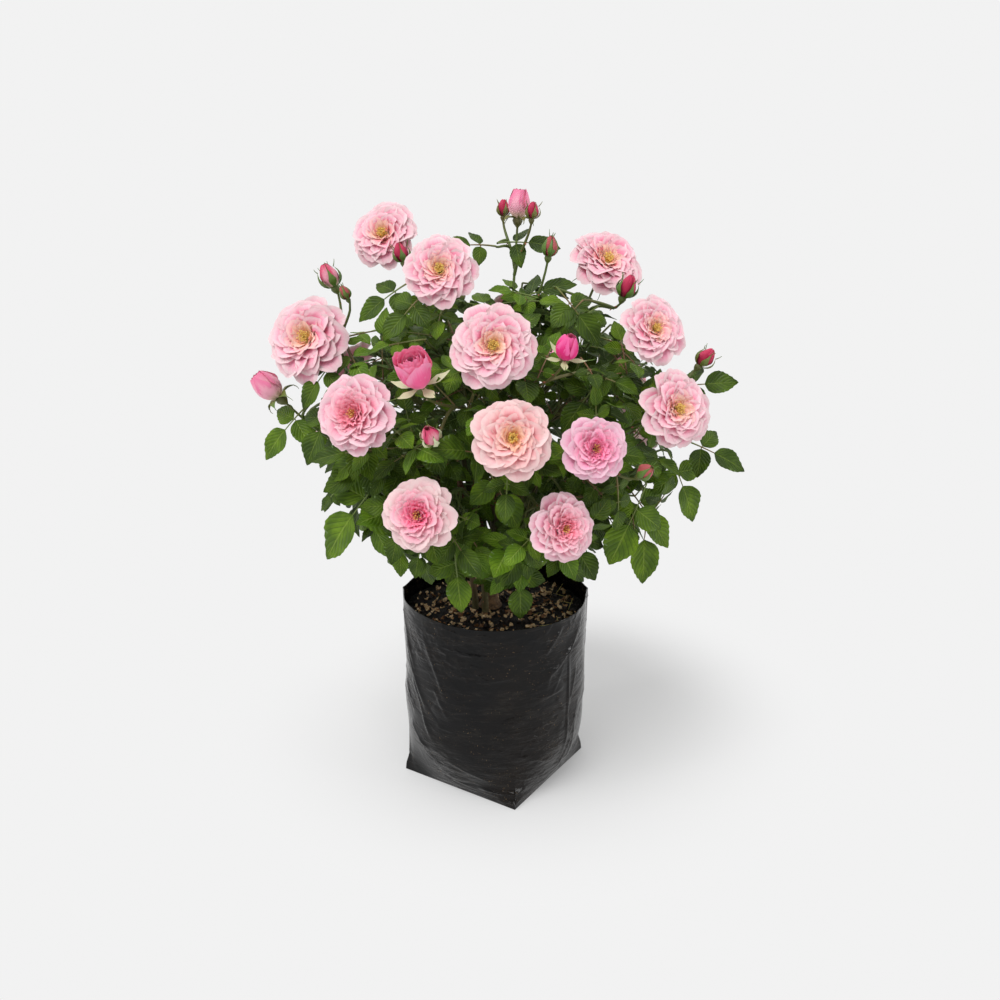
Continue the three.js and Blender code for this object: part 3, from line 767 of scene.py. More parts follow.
def petal_finish(name, claw, body, rim, creamy=0.42):
    """A petal: its claw's colour up to a share of its length, fuller beyond, and pale at its rim."""
    f = Finish(name)
    u, v = f.across()
    aside = (u - 0.5).size() * 2.0
    map_of_petal = f.add("ShaderNodeUVMap", {"uv_map": "blade"})
    drawn_out = f.add("ShaderNodeMapping", None, map_of_petal, Scale=(26.0, 2.0, 1.0))
    streaks = f.add("ShaderNodeTexNoise", {"noise_dimensions": "2D"}, Vector=drawn_out, Scale=1.0,
                    Detail=3.0)
    base = f.blend(v.between(0.08, creamy), claw, body)
    base = f.blend((v + streaks * 0.22 - 0.11 + aside ** 3.0 * 0.3).between(0.68, 1.03), base, rim)
    base = f.blend(streaks.between(0.5, 0.8) * 0.14, base, body)
    wrinkle = f.cloud(420.0, 3.0)
    bump = f.bump(streaks * 0.5 + wrinkle * 0.25, 0.0005, 0.6)
    return f.set(Base_Color=base, Roughness=0.6, Normal=bump, Specular_IOR_Level=0.25,
                 Subsurface_Weight=0.1, Subsurface_Scale=0.005, Subsurface_Radius=(1.0, 0.55, 0.62),
                 Sheen_Weight=0.08, Sheen_Roughness=0.5)


def stalk_finish(name, green, ruddy, rough=0.5):
    """Young bark, a sepal or a stalk: green with a ruddy flush and pale flecks."""
    f = Finish(name)
    flush = f.cloud(14.0, 2.0)
    base = f.blend(flush.between(0.42, 0.66), green, ruddy)
    base = f.blend(f.cloud(260.0).between(0.55, 0.8) * 0.3, base, colour("8A8B58"))
    return f.set(Base_Color=base, Roughness=rough, Normal=f.bump(f.cloud(700.0), 0.0004, 0.5))


def bark_finish():
    """Grey-brown bark in long fissured plates."""
    f = Finish("bark")
    plates = f.cloud(70.0, 5.0, 0.62, stretch=(1.0, 1.0, 0.28))
    grit = f.cloud(620.0, 3.0)
    base = f.blend(plates.between(0.38, 0.66), colour("3B2A1C"), colour("8C6B49"))
    base = f.blend(grit.between(0.55, 0.75) * 0.4, base, colour("B09A78"))
    return f.set(Base_Color=base, Roughness=0.86, Normal=f.bump(plates + grit * 0.3, 0.0016, 0.9))


def film_finish():
    """Black polythene film: glossy over its wrinkles, hazed and flecked with brown dust, with faint pale
    crease lines that are partly whitened film and partly a painted highlight.
    """
    f = Finish("black_film")
    at = f.place()
    wrinkled = f.cloud(7.0, 2.0, 0.5, at).between(0.38, 0.62)
    wrinkles = f.cloud(24.0, 4.0, 0.55, at, (1.0, 1.0, 4.6)) * wrinkled
    dents = f.cloud(11.0, 2.0, 0.5, at)
    dust = f.cloud(34.0, 6.0, 0.72, at, (1.0, 1.0, 2.2))
    flecks = f.cloud(520.0, 2.0, 0.5, at).between(0.66, 0.74) * dust.between(0.45, 0.62)
    patches = f.cloud(8.0, 3.0, 0.55, at, (1.0, 1.0, 0.7)).between(0.42, 0.66)
    haze = dust.between(0.42, 0.78) * 0.6 + patches * 0.4
    ripple = f.cloud(12.0, 3.0, 0.5, at, (1.0, 1.0, 6.0))
    crackle = f.cloud(38.0, 3.0, 0.5, at, (1.0, 1.0, 2.0))
    # Pale crease lines: partly the film whitened at its creases, partly a painted highlight along its
    # crinkles
    whitened_and_highlit_creases = ripple.ridge(0.5, 34.0) * dust.between(0.36, 0.62)
    whitened_and_highlit_creases = whitened_and_highlit_creases + crackle.ridge(0.52, 26.0) * dents.between(0.5, 0.68) * 0.8
    crinkle = f.cloud(30.0, 3.0, 0.5, at, (1.0, 1.0, 1.6)).ridge(0.5, 9.0) * dents.between(0.42, 0.62)
    grain = f.cloud(170.0, 3.0, 0.5, at, (1.0, 1.0, 3.0))
    base = f.blend(haze * 0.55, colour("020203"), colour("221A12"))
    # Painted highlight in part: the crease lines are lightened towards pale grey
    base = f.blend(whitened_and_highlit_creases * 0.04, base, colour("6A6660"))
    base = f.blend(flecks * 0.7, base, colour("7A6448"))
    rough = haze * 0.22 + flecks * 0.3 + 0.13
    height = wrinkles + dents * 1.1 + whitened_and_highlit_creases * 0.06 + grain * 0.06 + crinkle * 0.24
    return f.set(Base_Color=base, Roughness=rough, Normal=f.bump(height, 0.0030, 0.9),
                 Specular_IOR_Level=0.21)


def mix_finish():
    """Potting mix: near-black crumbs flecked with brown fibre."""
    f = Finish("potting_mix")
    crumbs = f.cloud(240.0, 5.0, 0.65)
    fibre = f.cloud(420.0, 2.0, 0.5, stretch=(1.0, 0.3, 1.0))
    base = f.blend(crumbs.between(0.45, 0.75), colour("050303"), colour("160E0A"))
    base = f.blend(fibre.between(0.62, 0.7) * 0.4, base, colour("5A3E28"))
    return f.set(Base_Color=base, Roughness=0.92, Normal=f.bump(crumbs + fibre * 0.3, 0.003, 1.0))


def chip_finish(name, dark, pale):
    """A chip of bark or straw, grained along its length."""
    f = Finish(name)
    grain = f.cloud(300.0, 4.0, 0.6, stretch=(1.0, 3.5, 1.0))
    base = f.blend(grain.between(0.35, 0.68), dark, pale)
    return f.set(Base_Color=base, Roughness=0.8, Normal=f.bump(grain, 0.0008, 0.8))


def plain_finish(name, dark, pale, rough):
    """Prickles and stamens: a fine cloud of two colours."""
    f = Finish(name)
    grain = f.cloud(300.0)
    base = f.blend(grain, dark, pale)
    return f.set(Base_Color=base, Roughness=rough, Normal=f.bump(grain, 0.0004, 0.6))


# ---------------------------------------------------------------- meshes

class Joined:
    """Many small closed surfaces gathered into one mesh, each face with its place on its own blade."""

    def __init__(self):
        self.points, self.faces, self.marks, self.slots, self.count = [], [], [], [], 0

    def add(self, points, faces, marks=None, slots=0):
        """Points (N, V, 3) in millimetres, faces (F, 3 or 4), marks (V, 2), slots (N, F) or a number."""
        many, verts = points.shape[:2]
        shift = self.count + np.arange(many)[:, None, None] * verts
        self.points.append(points.reshape(-1, 3))
        self.faces.append((faces[None] + shift).reshape(-1, faces.shape[1]))
        marks = np.zeros((verts, 2)) if marks is None else marks
        self.marks.append(np.broadcast_to(marks[faces], (many, *faces.shape, 2)).reshape(-1, 2))
        self.slots.append(np.broadcast_to(slots, (many, len(faces))).reshape(-1))
        self.count += many * verts

    def skin(self, rings, ends, downward=False):
        """Rings of points (R, S, 3) joined into a skin, with a fan to the middle of each end ring."""
        count, sides = rings.shape[:2]
        grid = np.arange(count * sides).reshape(count, sides)
        after = np.roll(grid, -1, axis=1)
        quads = np.stack([grid[:-1], after[:-1], after[1:], grid[1:]], -1).reshape(-1, 4)
        low = np.stack([np.full(sides, grid.size), after[0], grid[0]], 1)
        high = np.stack([np.full(sides, grid.size + 1), grid[-1], after[-1]], 1)
        fans = np.concatenate([low, high])
        if downward:
            quads, fans = quads[:, ::-1], fans[:, [0, 2, 1]]
        shift = self.count
        self.add(np.vstack([rings.reshape(-1, 3), ends])[None], quads)
        self.faces.append(fans + shift)
        self.marks.append(np.zeros((fans.size, 2)))
        self.slots.append(np.zeros(len(fans), int))

    def piece(self, name, materials, sharp=50):
        """The finished object, smooth but for edges that turn by more than so many degrees."""
        mesh = bpy.data.meshes.new(name)
        points = np.concatenate(self.points) * MM
        sizes = np.concatenate([np.full(len(f), f.shape[1]) for f in self.faces])
        mesh.vertices.add(len(points))
        mesh.vertices.foreach_set("co", points.astype(np.float32).ravel())
        corners = np.concatenate([f.ravel() for f in self.faces]).astype(np.int32)
        mesh.loops.add(len(corners))
        mesh.loops.foreach_set("vertex_index", corners)
        mesh.polygons.add(len(sizes))
        mesh.polygons.foreach_set("loop_start", (np.cumsum(sizes) - sizes).astype(np.int32))
        mesh.polygons.foreach_set("material_index", np.concatenate(self.slots).astype(np.int32))
        blade = mesh.uv_layers.new(name="blade")
        blade.data.foreach_set("uv", np.concatenate(self.marks).astype(np.float32).ravel())
        mesh.update(calc_edges=True)
        mesh.validate()
        mesh.shade_smooth()
        mesh.set_sharp_from_angle(angle=math.radians(sharp))
        for material in materials:
            mesh.materials.append(material)
        piece = bpy.data.objects.new(name, mesh)
        scene.collection.objects.link(piece)
        return piece


class Blade:
    """A thin closed sheet of rows and columns: two faces that share their edge.

    u runs from -1 to 1 across it and v from 0 at its root to 1 at its tip; face is 1 on its upper
    points, -1 on its lower ones and 0 along its edge."""

    def __init__(self, rows, columns):
        v, u = np.meshgrid(np.arange(rows + 1) / rows, np.linspace(-1, 1, columns + 1), indexing="ij")
        edge = (v == 0) | (v == 1) | (abs(u) == 1)
        upper = np.arange(v.size).reshape(v.shape)
        lower = upper.copy()
        lower[~edge] = v.size + np.arange((~edge).sum())
        self.u = np.concatenate([u.ravel(), u[~edge]])
        self.v = np.concatenate([v.ravel(), v[~edge]])
        self.face = np.concatenate([np.where(edge, 0, 1).ravel(), -np.ones((~edge).sum())])
        self.row = np.concatenate([np.arange(rows + 1).repeat(columns + 1),
                                   (np.arange(rows + 1)[:, None] + 0 * upper)[~edge]])

        def quads(grid):
            corners = [grid[:-1, :-1], grid[:-1, 1:], grid[1:, 1:], grid[1:, :-1]]
            return np.stack(corners, -1).reshape(-1, 4)

        self.faces = np.concatenate([quads(upper)[:, ::-1], quads(lower)])
        self.under = np.arange(len(self.faces)) >= rows * columns
        self.marks = np.stack([self.u * 0.5 + 0.5, self.v], 1)


LEAF_TINTS = ("deep", "green", "fresh", "young")
LEAF_BLADE, INNER_BLADE = Blade(16, 4), Blade(8, 2)
INNER = 104
# A leaflet's form: the powers that its outline swells and tapers by and what that comes to at its
# widest, how deep its teeth are cut and hooked, its folding, its waves, its dishing, and its half
# thickness: a share of its length, the least in millimetres and the share gone at its edge
FORM = {"swell": 0.66, "taper": 1.02, "widest": 0.318, "least": 0.01, "notch": 0.965, "hook": 0.010,
        "folding": 1.6, "waves": 1.6, "wave": 0.03, "dish": 0.05, "thick": 0.006, "thinnest": 0.22,
        "edge": 0.4}


def leaflet_points(leaflets, b):
    """Ovate, saw-edged leaflets, folded along their rib and curling down towards their tip."""
    start, way, lean = (np.array([leaf[k] for leaf in leaflets])[:, None] for k in range(3))
    length, ratio, fold, curl, phase = (np.array([leaf[k] for leaf in leaflets], float)[:, None]
                                        for k in range(3, 8))
    side = unit(np.cross(lean, way))
    normal = np.cross(way, side)
    tooth = b.row % 2 == 1
    notches = np.where(tooth, 1.0, FORM["notch"])
    hooks = np.where(tooth, 1, -1) * (b.v > 0) * (b.v < 1)
    outline = np.maximum(b.v ** FORM["swell"] * (1 - b.v) ** FORM["taper"] / FORM["widest"], FORM["least"])
    edge = abs(b.u) ** 3
    lateral = length * ratio * 0.5 * (b.u * outline * (1 - edge * (1 - notches)))
    forward = length * (b.v + FORM["hook"] * edge * hooks)
    bow = np.sin(math.pi * b.v)
    wave = np.sin(TAU * (FORM["waves"] * b.v + phase)) * bow * abs(b.u)
    rise = abs(lateral) * fold * FORM["folding"] - length * curl * b.v ** 2 + length * FORM["wave"] * wave
    rise = rise - length * FORM["dish"] * (abs(b.u) ** 2) * bow * 0.5
    thick = np.maximum(FORM["thick"] * length, FORM["thinnest"])
    rise = rise + b.face * thick * (1 - FORM["edge"] * abs(b.u))
    return start + way * forward[..., None] + side * lateral[..., None] + normal * rise[..., None]


def leaves_piece(side, leaflets, materials):
    """The leaflets of one side of the crown, with fewer faces where they start near the heart."""
    joined = Joined()
    for blade, inner in ((LEAF_BLADE, False), (INNER_BLADE, True)):
        chosen = [leaf for leaf in leaflets if (np.linalg.norm(leaf[0] - HEART) < INNER) == inner]
        if chosen:
            tints = np.array([LEAF_TINTS.index(leaf[8]) for leaf in chosen])
            slots = np.where(blade.under[None], len(LEAF_TINTS), tints[:, None])
            joined.add(leaflet_points(chosen, blade), blade.faces, blade.marks, slots)
    return joined.piece(f"leaves_{side}", materials)


# ---------------------------------------------------------------- flowers

PETAL_BLADE = Blade(7, 8)
SEPAL_BLADE = Blade(6, 2)


def around(head, turn, radial, rise, lateral):
    """Points beside a head's axis: out along a turn about it, up it, and sideways."""
    centre, faces = head
    level = unit(np.cross(faces, UP if abs(faces[2]) < 0.9 else heading(0, 0)))
    other = np.cross(faces, level)
    out = level * np.cos(turn)[..., None] + other * np.sin(turn)[..., None]
    beside = -level * np.sin(turn)[..., None] + other * np.cos(turn)[..., None]
    return centre + out * radial[..., None] + faces * rise[..., None] + beside * lateral[..., None]


# A petal's form: how its corners are rounded off, the notch in its tip, the width of its claw, where it
# is fullest, how its tip draws in, where it starts to roll back and how strongly, and its thinning to
# the tip
PETAL = {"corners": 0.30, "round": 2.6, "notch": 0.04, "notch_width": 0.2, "claw": 0.24, "full": 0.62,
         "draws_in": 0.10, "tip": 0.8, "rolls_from": 0.72, "roll": 6, "thins": 0.5}


def petal_points(head, blade, turn, root, belly, tip, width, cup, ruffle, phase, tilt, roll, thick, taper):
    """Petals that follow a bend from root to tip in the plane of their turn, each given as (N, 1)."""
    u, along = blade.u[None], blade.v[None]
    corners = PETAL["corners"] * abs(u) ** PETAL["round"] * (1 - taper)
    notch = PETAL["notch"] * np.exp(-(u / PETAL["notch_width"]) ** 2) * along ** 5 * (1 - taper)
    v = np.clip(along * (1 - corners) - notch, 0, 1)
    bend = [(1 - v) ** 2 * root[k] + 2 * v * (1 - v) * belly[k] + v ** 2 * tip[k] for k in (0, 1)]
    slope = [2 * (1 - v) * (belly[k] - root[k]) + 2 * v * (tip[k] - belly[k]) for k in (0, 1)]
    steep = np.hypot(*slope) + 1e-9
    inward, upward = -slope[1] / steep, slope[0] / steep
    grow = PETAL["claw"] + (1 - PETAL["claw"]) * ease(v, 0.0, PETAL["full"])
    grow = grow - PETAL["draws_in"] * ease(v, PETAL["tip"], 1.0)
    grow = grow * (1 - taper * ease(v, 0.3, 1.02))
    lateral = width * u * grow
    slow = np.sin(TAU * (0.9 * u + phase)) * 0.6
    quick = np.sin(TAU * (1.9 * u + 1.7 * phase)) * (0.3 + 0.5 * v ** 3)
    lift = cup * width * u ** 2 * grow
    lift = lift + ruffle * (slow + quick) * v ** 2 * (0.35 + 0.65 * abs(u) + 0.3 * v)
    lift = lift + tilt * lateral - roll * np.maximum(0, v - PETAL["rolls_from"]) ** 2 * PETAL["roll"]
    lift = lift + blade.face[None] * thick * (1 - PETAL["thins"] * v)
    return around(head, turn + 0 * u, bend[0] + inward * lift, bend[1] + upward * lift, lateral)


def petals_from(head, blade, rows, taper=0.0):
    """Petals or sepals from rows of their measures, in the order that petal_points takes them."""
    turn, r0, z0, r1, z1, r2, z2, *rest = (np.array(row, float)[:, None] for row in zip(*rows))
    return petal_points(head, blade, turn, (r0, z0), (r1, z1), (r2, z2), *rest, taper)


# The rings of a double bloom from rim to heart: how many petals, how far out and up their tips reach,
# their lean from the axis in degrees and their half width, in shares of the bloom's radius but for the
# lean
RINGS = {
    "open": [(9, 1.03, -0.13, 108, 0.37), (9, 0.90, 0.01, 99, 0.35), (9, 0.74, 0.12, 88, 0.31),
             (8, 0.58, 0.19, 74, 0.27), (8, 0.44, 0.22, 56, 0.22), (7, 0.31, 0.20, 34, 0.17),
             (5, 0.20, 0.12, 0, 0.13), (3, 0.12, 0.08, -50, 0.10)],
    "rosette": [(9, 1.02, -0.11, 104, 0.38), (9, 0.88, 0.04, 93, 0.35), (9, 0.72, 0.15, 80, 0.30),
                (9, 0.57, 0.22, 66, 0.25), (9, 0.45, 0.26, 50, 0.20), (8, 0.34, 0.28, 34, 0.16),
                (8, 0.24, 0.26, 14, 0.13), (6, 0.14, 0.20, -10, 0.11)],
}


# A bloom's petals: how far out and down their roots sit and how much that closes towards the heart;
# cup, ruffle and roll at the rim and what the heart adds; their tilt and the share that tilts forwards;
# their thickness
BLOOM = {"root": 0.05, "hollow": -0.34, "heaped": 0.22, "cup": (0.24, 0.40), "ruffle": (0.018, 0.035),
         "roll": (0.14, -0.09), "tilt": 0.13, "forwards": 0.8, "thick": (0.009, 0.12)}
# How widely those measures are dealt from petal to petal
DEALT = {"turn": 0.16, "out": (0.93, 1.04), "up": (-0.035, 0.045), "lean": 9, "span": (0.42, 0.56),
         "width": (0.84, 1.12), "cup": (0.5, 1.3), "curl": (0.5, 1.5), "tilt": 0.05}


def bloom_petals(head, radius, form, random):
    """The petals of a double bloom, ring by ring, and how deep in it each one sits."""
    rows, depths = [], []
    rings = RINGS[form]
    for ring, (count, out, up, lean, half) in enumerate(rings):
        deep = ring / (len(rings) - 1)
        ruffle, roll = (BLOOM[part][0] + BLOOM[part][1] * deep for part in ("ruffle", "roll"))
        start = random(0, TAU)
        for k in range(count):
            turn = start + TAU * (k + random(-DEALT["turn"], DEALT["turn"])) / count
            tip_r = radius * out * random(*DEALT["out"])
            tip_z = radius * (up + random(*DEALT["up"]))
            root_r, root_z = radius * BLOOM["root"], radius * (BLOOM["hollow"] + BLOOM["heaped"] * deep)
            flare = math.radians(lean + random(-DEALT["lean"], DEALT["lean"]))
            span = math.hypot(tip_r - root_r, tip_z - root_z) * random(*DEALT["span"])
            belly = (tip_r - math.sin(flare) * span, tip_z - math.cos(flare) * span)
            width = radius * half * random(*DEALT["width"])
            cupped = BLOOM["cup"][0] + BLOOM["cup"][1] * deep * random(*DEALT["cup"])
            ruffled = radius * ruffle * random(*DEALT["curl"])
            phase = random()
            forwards = 1 if random() < BLOOM["forwards"] else -1
            tilt = BLOOM["tilt"] * forwards + random(-DEALT["tilt"], DEALT["tilt"])
            rolled = radius * roll * random(*DEALT["curl"])
            thick = radius * BLOOM["thick"][0] + BLOOM["thick"][1]
            rows.append((turn, root_r, root_z, *belly, tip_r, tip_z, width, cupped, ruffled, phase, tilt,
                         rolled, thick))
            depths.append(deep)
    return petals_from(head, PETAL_BLADE, rows), np.array(depths)


# How each kind of bud looks: how far it has opened, its petals, how its sepals stand and their finish
BUDS = {"closed": (0.0, 8, "pressed", 0), "striped": (0.04, 8, "pressed", 0), "green": (0.0, 6, "shut", 0),
        "tipped": (0.05, 9, "pressed", 1), "half": (0.16, 15, "drooped", 0),
        "rose": (0.40, 26, "spread", 1),
        "hot": (0.10, 15, "spread", 1)}


def bud_petals(head, radius, openness, count, random):
    """Petals wrapped round a bud's axis; the outer ones of an open bud stand off and roll back."""
    rows = []
    for k in range(count):
        deep = k / (count - 1)
        turn = math.radians(GOLDEN * k) + random(-0.1, 0.1)
        spread = openness * (1 - deep) ** 1.2
        root = (radius * 0.25, radius * -0.78)
        tip_r = radius * (0.10 + 2.2 * spread)
        tip_z = radius * (1.62 - 0.2 * spread - 0.5 * openness * deep - 0.10 * random())
        belly_r = radius * (1.58 - 0.75 * openness - (0.55 - 0.5 * openness) * deep)
        width, cup = radius * (0.90 - 0.30 * deep), 0.60 - 0.15 * openness
        ruffle, phase, tilt = radius * 0.06 * openness, random(), 0.12
        roll, thick = radius * 0.55 * spread, radius * 0.02 + 0.1
        rows.append((turn, *root, belly_r, radius * -0.05, tip_r, tip_z, width, cup, ruffle, phase, tilt,
                     roll, thick))
    return petals_from(head, PETAL_BLADE, rows)


# Sepals by how they stand: root, handle, tip and the end of their thin tail, each out and up, and their
# half width, as shares of the head's radius
SEPALS = {
    "shut": ((0.25, -0.85), (1.75, -0.10), (0.25, 1.50), (0.40, 1.95), 0.60),
    "pressed": ((0.25, -0.85), (1.72, -0.35), (0.84, 0.95), (1.16, 1.50), 0.52),
    "drooped": ((0.25, -0.80), (0.95, -0.66), (1.25, -1.05), (1.30, -1.35), 0.50),
    "spread": ((0.25, -0.80), (1.20, -0.95), (1.85, -0.40), (2.15, -0.05), 0.42),
    "back": ((0.06, -0.42), (0.28, -0.50), (0.55, -0.66), (0.64, -0.86), 0.10),
}


# What all sepals share: cup, ruffle, thickness and taper; and along their tail, its radii and steps
SEPAL = {"cup": 0.42, "ruffle": 0.03, "thick": 0.28, "taper": 0.88, "tail": (0.50, 0.22), "steps": 4}


def sepals(head, radius, pose, random):
    """Five sepals and the thin tails that they end in."""
    root, handle, tip, tail, half = SEPALS[pose]
    rows, tails = [], []
    for k in range(5):
        turn, far = math.radians(72 * k) + random(-0.15, 0.15), random(0.88, 1.12)
        tip_r, tip_z = radius * tip[0] * random(0.9, 1.15), radius * tip[1] * random(0.92, 1.06)
        below = [radius * part for part in (*root, *handle)]
        rows.append((turn, *below, tip_r, tip_z, radius * half, SEPAL["cup"], radius * SEPAL["ruffle"],
                     random(), 0.0, 0.0, SEPAL["thick"]))
        middle = (tip_r * 0.6 + radius * tail[0] * 0.5, (tip_z + radius * tail[1]) / 2)
        ends = ((tip_r * 0.98, tip_z * 0.96), middle, (radius * tail[0] * far, radius * tail[1] * far))
        path = [around(head, np.array(turn), np.array(r), np.array(z), np.array(0.0)) for r, z in ends]
        radii = np.linspace(*SEPAL["tail"], SEPAL["steps"] + 1)
        tails.append((list(Bend(*path).spread(SEPAL["steps"])), radii))
    return petals_from(head, SEPAL_BLADE, rows, SEPAL["taper"]), tails


# Petal finishes by tone, from the rim of the bloom to its heart: claw, body and rim of each petal
# The pale inner rings of the cream and peach tones are partly their own cream heart and partly painted
# light that lifts the shade deep between the inner petals
TONES = {
    "cream": [("F8D4C0", "F49CB6", "F2D3D7"), ("FBDAAE", "F994B1", "FBD0D8"),
              ("FFE0A0", "FFA4AE", "FFD0CE"), ("FFE494", "FFC4AE", "FFCFC2")],
    "pink": [("F6CEC2", "F29AB4", "F2CED6"), ("F8C0B8", "FA94B0", "FBCAD4"),
             ("F8B4A0", "FF94AE", "FFBCCA"), ("F8B48E", "FF8CA4", "FFAEBE")],
    "blush": [("F2CCC2", "F0BEC4", "F2D4D4"), ("F2B6C0", "FA9AB4", "F9C6CF"),
              ("F48CAA", "FC7AA0", "FFAEC2"), ("EE7098", "FF729A", "FF98B4")],
    "lilac": [("F2B8CC", "F2A0C0", "F3C8D7"), ("F4A4C0", "FB92BA", "FCBAD0"),
              ("F28AB0", "FC7EAA", "FFA8C6"), ("EC749E", "FF7CAA", "FF9EC0")],
    "peach": [("F4CEAE", "F3B3B8", "F3D1CF"), ("F9CFA0", "FAA8AE", "FBCCCA"),
              ("FFD890", "FFB6B0", "FFCEC6"), ("FFD468", "FFBEA2", "FFCAB4")],
}
# Petal finishes by kind of bud
BUD_TONES = {"closed": ("7E1F30", "B02348", "CC3A5E"), "striped": ("F2D2C0", "EE9CAE", "D63F68"),
             "green": ("8A3A3A", "A8504E", "B8585A"), "tipped": ("EFD8B8", "EBA0AC", "D9386A"),
             "half": ("F9D2C4", "F8AABF", "F07FA6"), "rose": ("FFA6C2", "FF669E", "FF96BE"),
             "hot": ("E4408C", "EC2A80", "F866A8")}


def petal_materials():
    """All petal finishes in one list, and where each tone starts in it."""
    materials, starts = [], {}
    for tone, rings in TONES.items():
        starts[tone] = len(materials)
        for ring, codes in enumerate(rings):
            creamy = 0.46 + 0.11 * ring
            materials.append(petal_finish(f"petal_{tone}_{ring + 1}", *map(colour, codes), creamy))
    for form, codes in BUD_TONES.items():
        starts[form] = len(materials)
        materials.append(petal_finish(f"petal_bud_{form}", *map(colour, codes)))
    return materials, starts


# Stamens: how many each form of bloom has, where they stand, how far their tips fan out and up, their
# lengths
STAMENS = {"open": 34, "rosette": 12}
STAMEN = {"foot": 0.02, "fan": (0.12, 0.85), "tip": (0.17, 0.22), "root": 0.05, "lengths": (0.11, 0.18)}


def dress_heads(starts):
    """Petals by side of the crown, all sepals and their tails, and the roots of all stamens."""
    petals = {side: Joined() for side in SIDES}
    calyxes, tails, stamens = Joined(), [], []
    heads = [(side_of(grown), shoot) for grown in MASSES for shoot in grown["shoots"]
             if shoot["head"] != "leaf"]
    for number, (side, shoot) in enumerate(heads):
        random = Seeded(SEEDS["heads"] + SEEDS["next_head"] * number)
        centre, faces, _ = head_of(shoot)
        head, radius = (centre, faces), shoot["width"] / 2
        if shoot["head"] == "bloom":
            points, deep = bloom_petals(head, radius, shoot["form"], random)
            rings = len(TONES[shoot["tone"]])
            slots = (starts[shoot["tone"]] + np.minimum(rings - 1, (deep * 4.2).astype(int)))[:, None]
            pose, finish = "back", 0
            stamens += stamen_roots(head, radius, STAMENS[shoot["form"]], random)
        else:
            openness, count, pose, finish = BUDS[shoot["form"]]
            points = bud_petals(head, radius, openness, count, random)
            slots = np.full((len(points), 1), starts[shoot["form"]])
        blades, ends = sepals(head, radius, pose, random)
        calyxes.add(blades, SEPAL_BLADE.faces, SEPAL_BLADE.marks, finish)
        tails += ends
        petals[side].add(points, PETAL_BLADE.faces, PETAL_BLADE.marks, slots)
    return petals, calyxes, tails, stamens


def stamen_roots(head, radius, count, random):
    """Stamens fan out from a bloom's hollow heart: (root, way, length)."""
    centre, faces = head
    base = (centre + faces * radius * STAMEN["foot"], faces)
    level, (out, up) = np.array(0.0), STAMEN["tip"]
    roots = []
    for k in range(count):
        turn = np.array(math.radians(GOLDEN * k))
        spread = STAMEN["fan"][0] + STAMEN["fan"][1] * math.sqrt(k / count)
        tip = around(base, turn, np.array(radius * out * spread), np.array(radius * up), level)
        root = around(base, turn, np.array(radius * STAMEN["root"] * spread), level, level)
        roots.append((root, unit(tip - root), radius * random(*STAMEN["lengths"])))
    return roots


# ---------------------------------------------------------------- geometry nodes for what repeats

def node_group(name, inputs):
    """An empty geometry tree with named inputs: the tree, its inputs as values and their identifiers."""
    group = bpy.data.node_groups.new(name, "GeometryNodeTree")
    sockets = {}
    for label, kind, default in [("Geometry", "NodeSocketGeometry", None), *inputs]:
        socket = group.interface.new_socket(label, in_out="INPUT", socket_type=kind)
        if default is not None:
            socket.default_value = default
        sockets[label] = socket.identifier
    group.interface.new_socket("Geometry", in_out="OUTPUT", socket_type="NodeSocketGeometry")
    tree = Tree(group)
    source = group.nodes.new("NodeGroupInput")
    values = {socket.name: Value(tree, socket) for socket in source.outputs if socket.name}
    return tree, values, sockets


def finish_group(tree, geometry, material):
    """Makes what a tree grew real and smooth, gives it its material and puts it out."""
    real = tree.add("GeometryNodeRealizeInstances", None, geometry)
    smooth = tree.add("GeometryNodeSetShadeSmooth", None, real)
    done = tree.add("GeometryNodeSetMaterial", None, smooth, Material=material)
    output = tree.tree.nodes.new("NodeGroupOutput")
    tree.tree.links.new(done.socket, output.inputs[0])


def worked(name, points, edges, fields, group, settings, material):
    """A plain mesh: points with their fields, put through a tree with its inputs set."""
    tree, sockets = group
    guide = bpy.data.meshes.new(name + "_guide")
    guide.from_pydata([tuple(p) for p in np.array(points) * MM], edges, [])
    for label, (kind, values) in fields.items():
        attribute = guide.attributes.new(label, kind, "POINT")
        values = np.array(values, np.float32)
        attribute.data.foreach_set("vector" if kind == "FLOAT_VECTOR" else "value", values.ravel())
    guide.materials.append(material)
    draft = bpy.data.objects.new(name + "_draft", guide)
    scene.collection.objects.link(draft)
    modifier = draft.modifiers.new("nodes", "NODES")
    modifier.node_group = tree.tree
    for label, value in settings.items():
        modifier[sockets[label]] = value
    bpy.context.view_layer.update()
    mesh = bpy.data.meshes.new_from_object(draft.evaluated_get(bpy.context.evaluated_depsgraph_get()))
    bpy.data.objects.remove(draft)
    mesh.name = name
    piece = bpy.data.objects.new(name, mesh)
    scene.collection.objects.link(piece)
    return piece


def twig_tree():
    """Edges with a radius at each point become round tubes with closed ends."""
    tree, values, sockets = node_group("twig_tubes", [
        ("Sides", "NodeSocketInt", 6), ("Material", "NodeSocketMaterial", None)])
    curve = tree.add("GeometryNodeMeshToCurve", None, values["Geometry"])
    ring = tree.add("GeometryNodeCurvePrimitiveCircle", None, Resolution=values["Sides"], Radius=1.0)
    radius = tree.add("GeometryNodeInputNamedAttribute", {"data_type": "FLOAT"}, "radius")
    tube = tree.add("GeometryNodeCurveToMesh", None, curve, ring, Scale=radius, **{"Fill Caps": True})
    finish_group(tree, tube, values["Material"])
    return tree, sockets


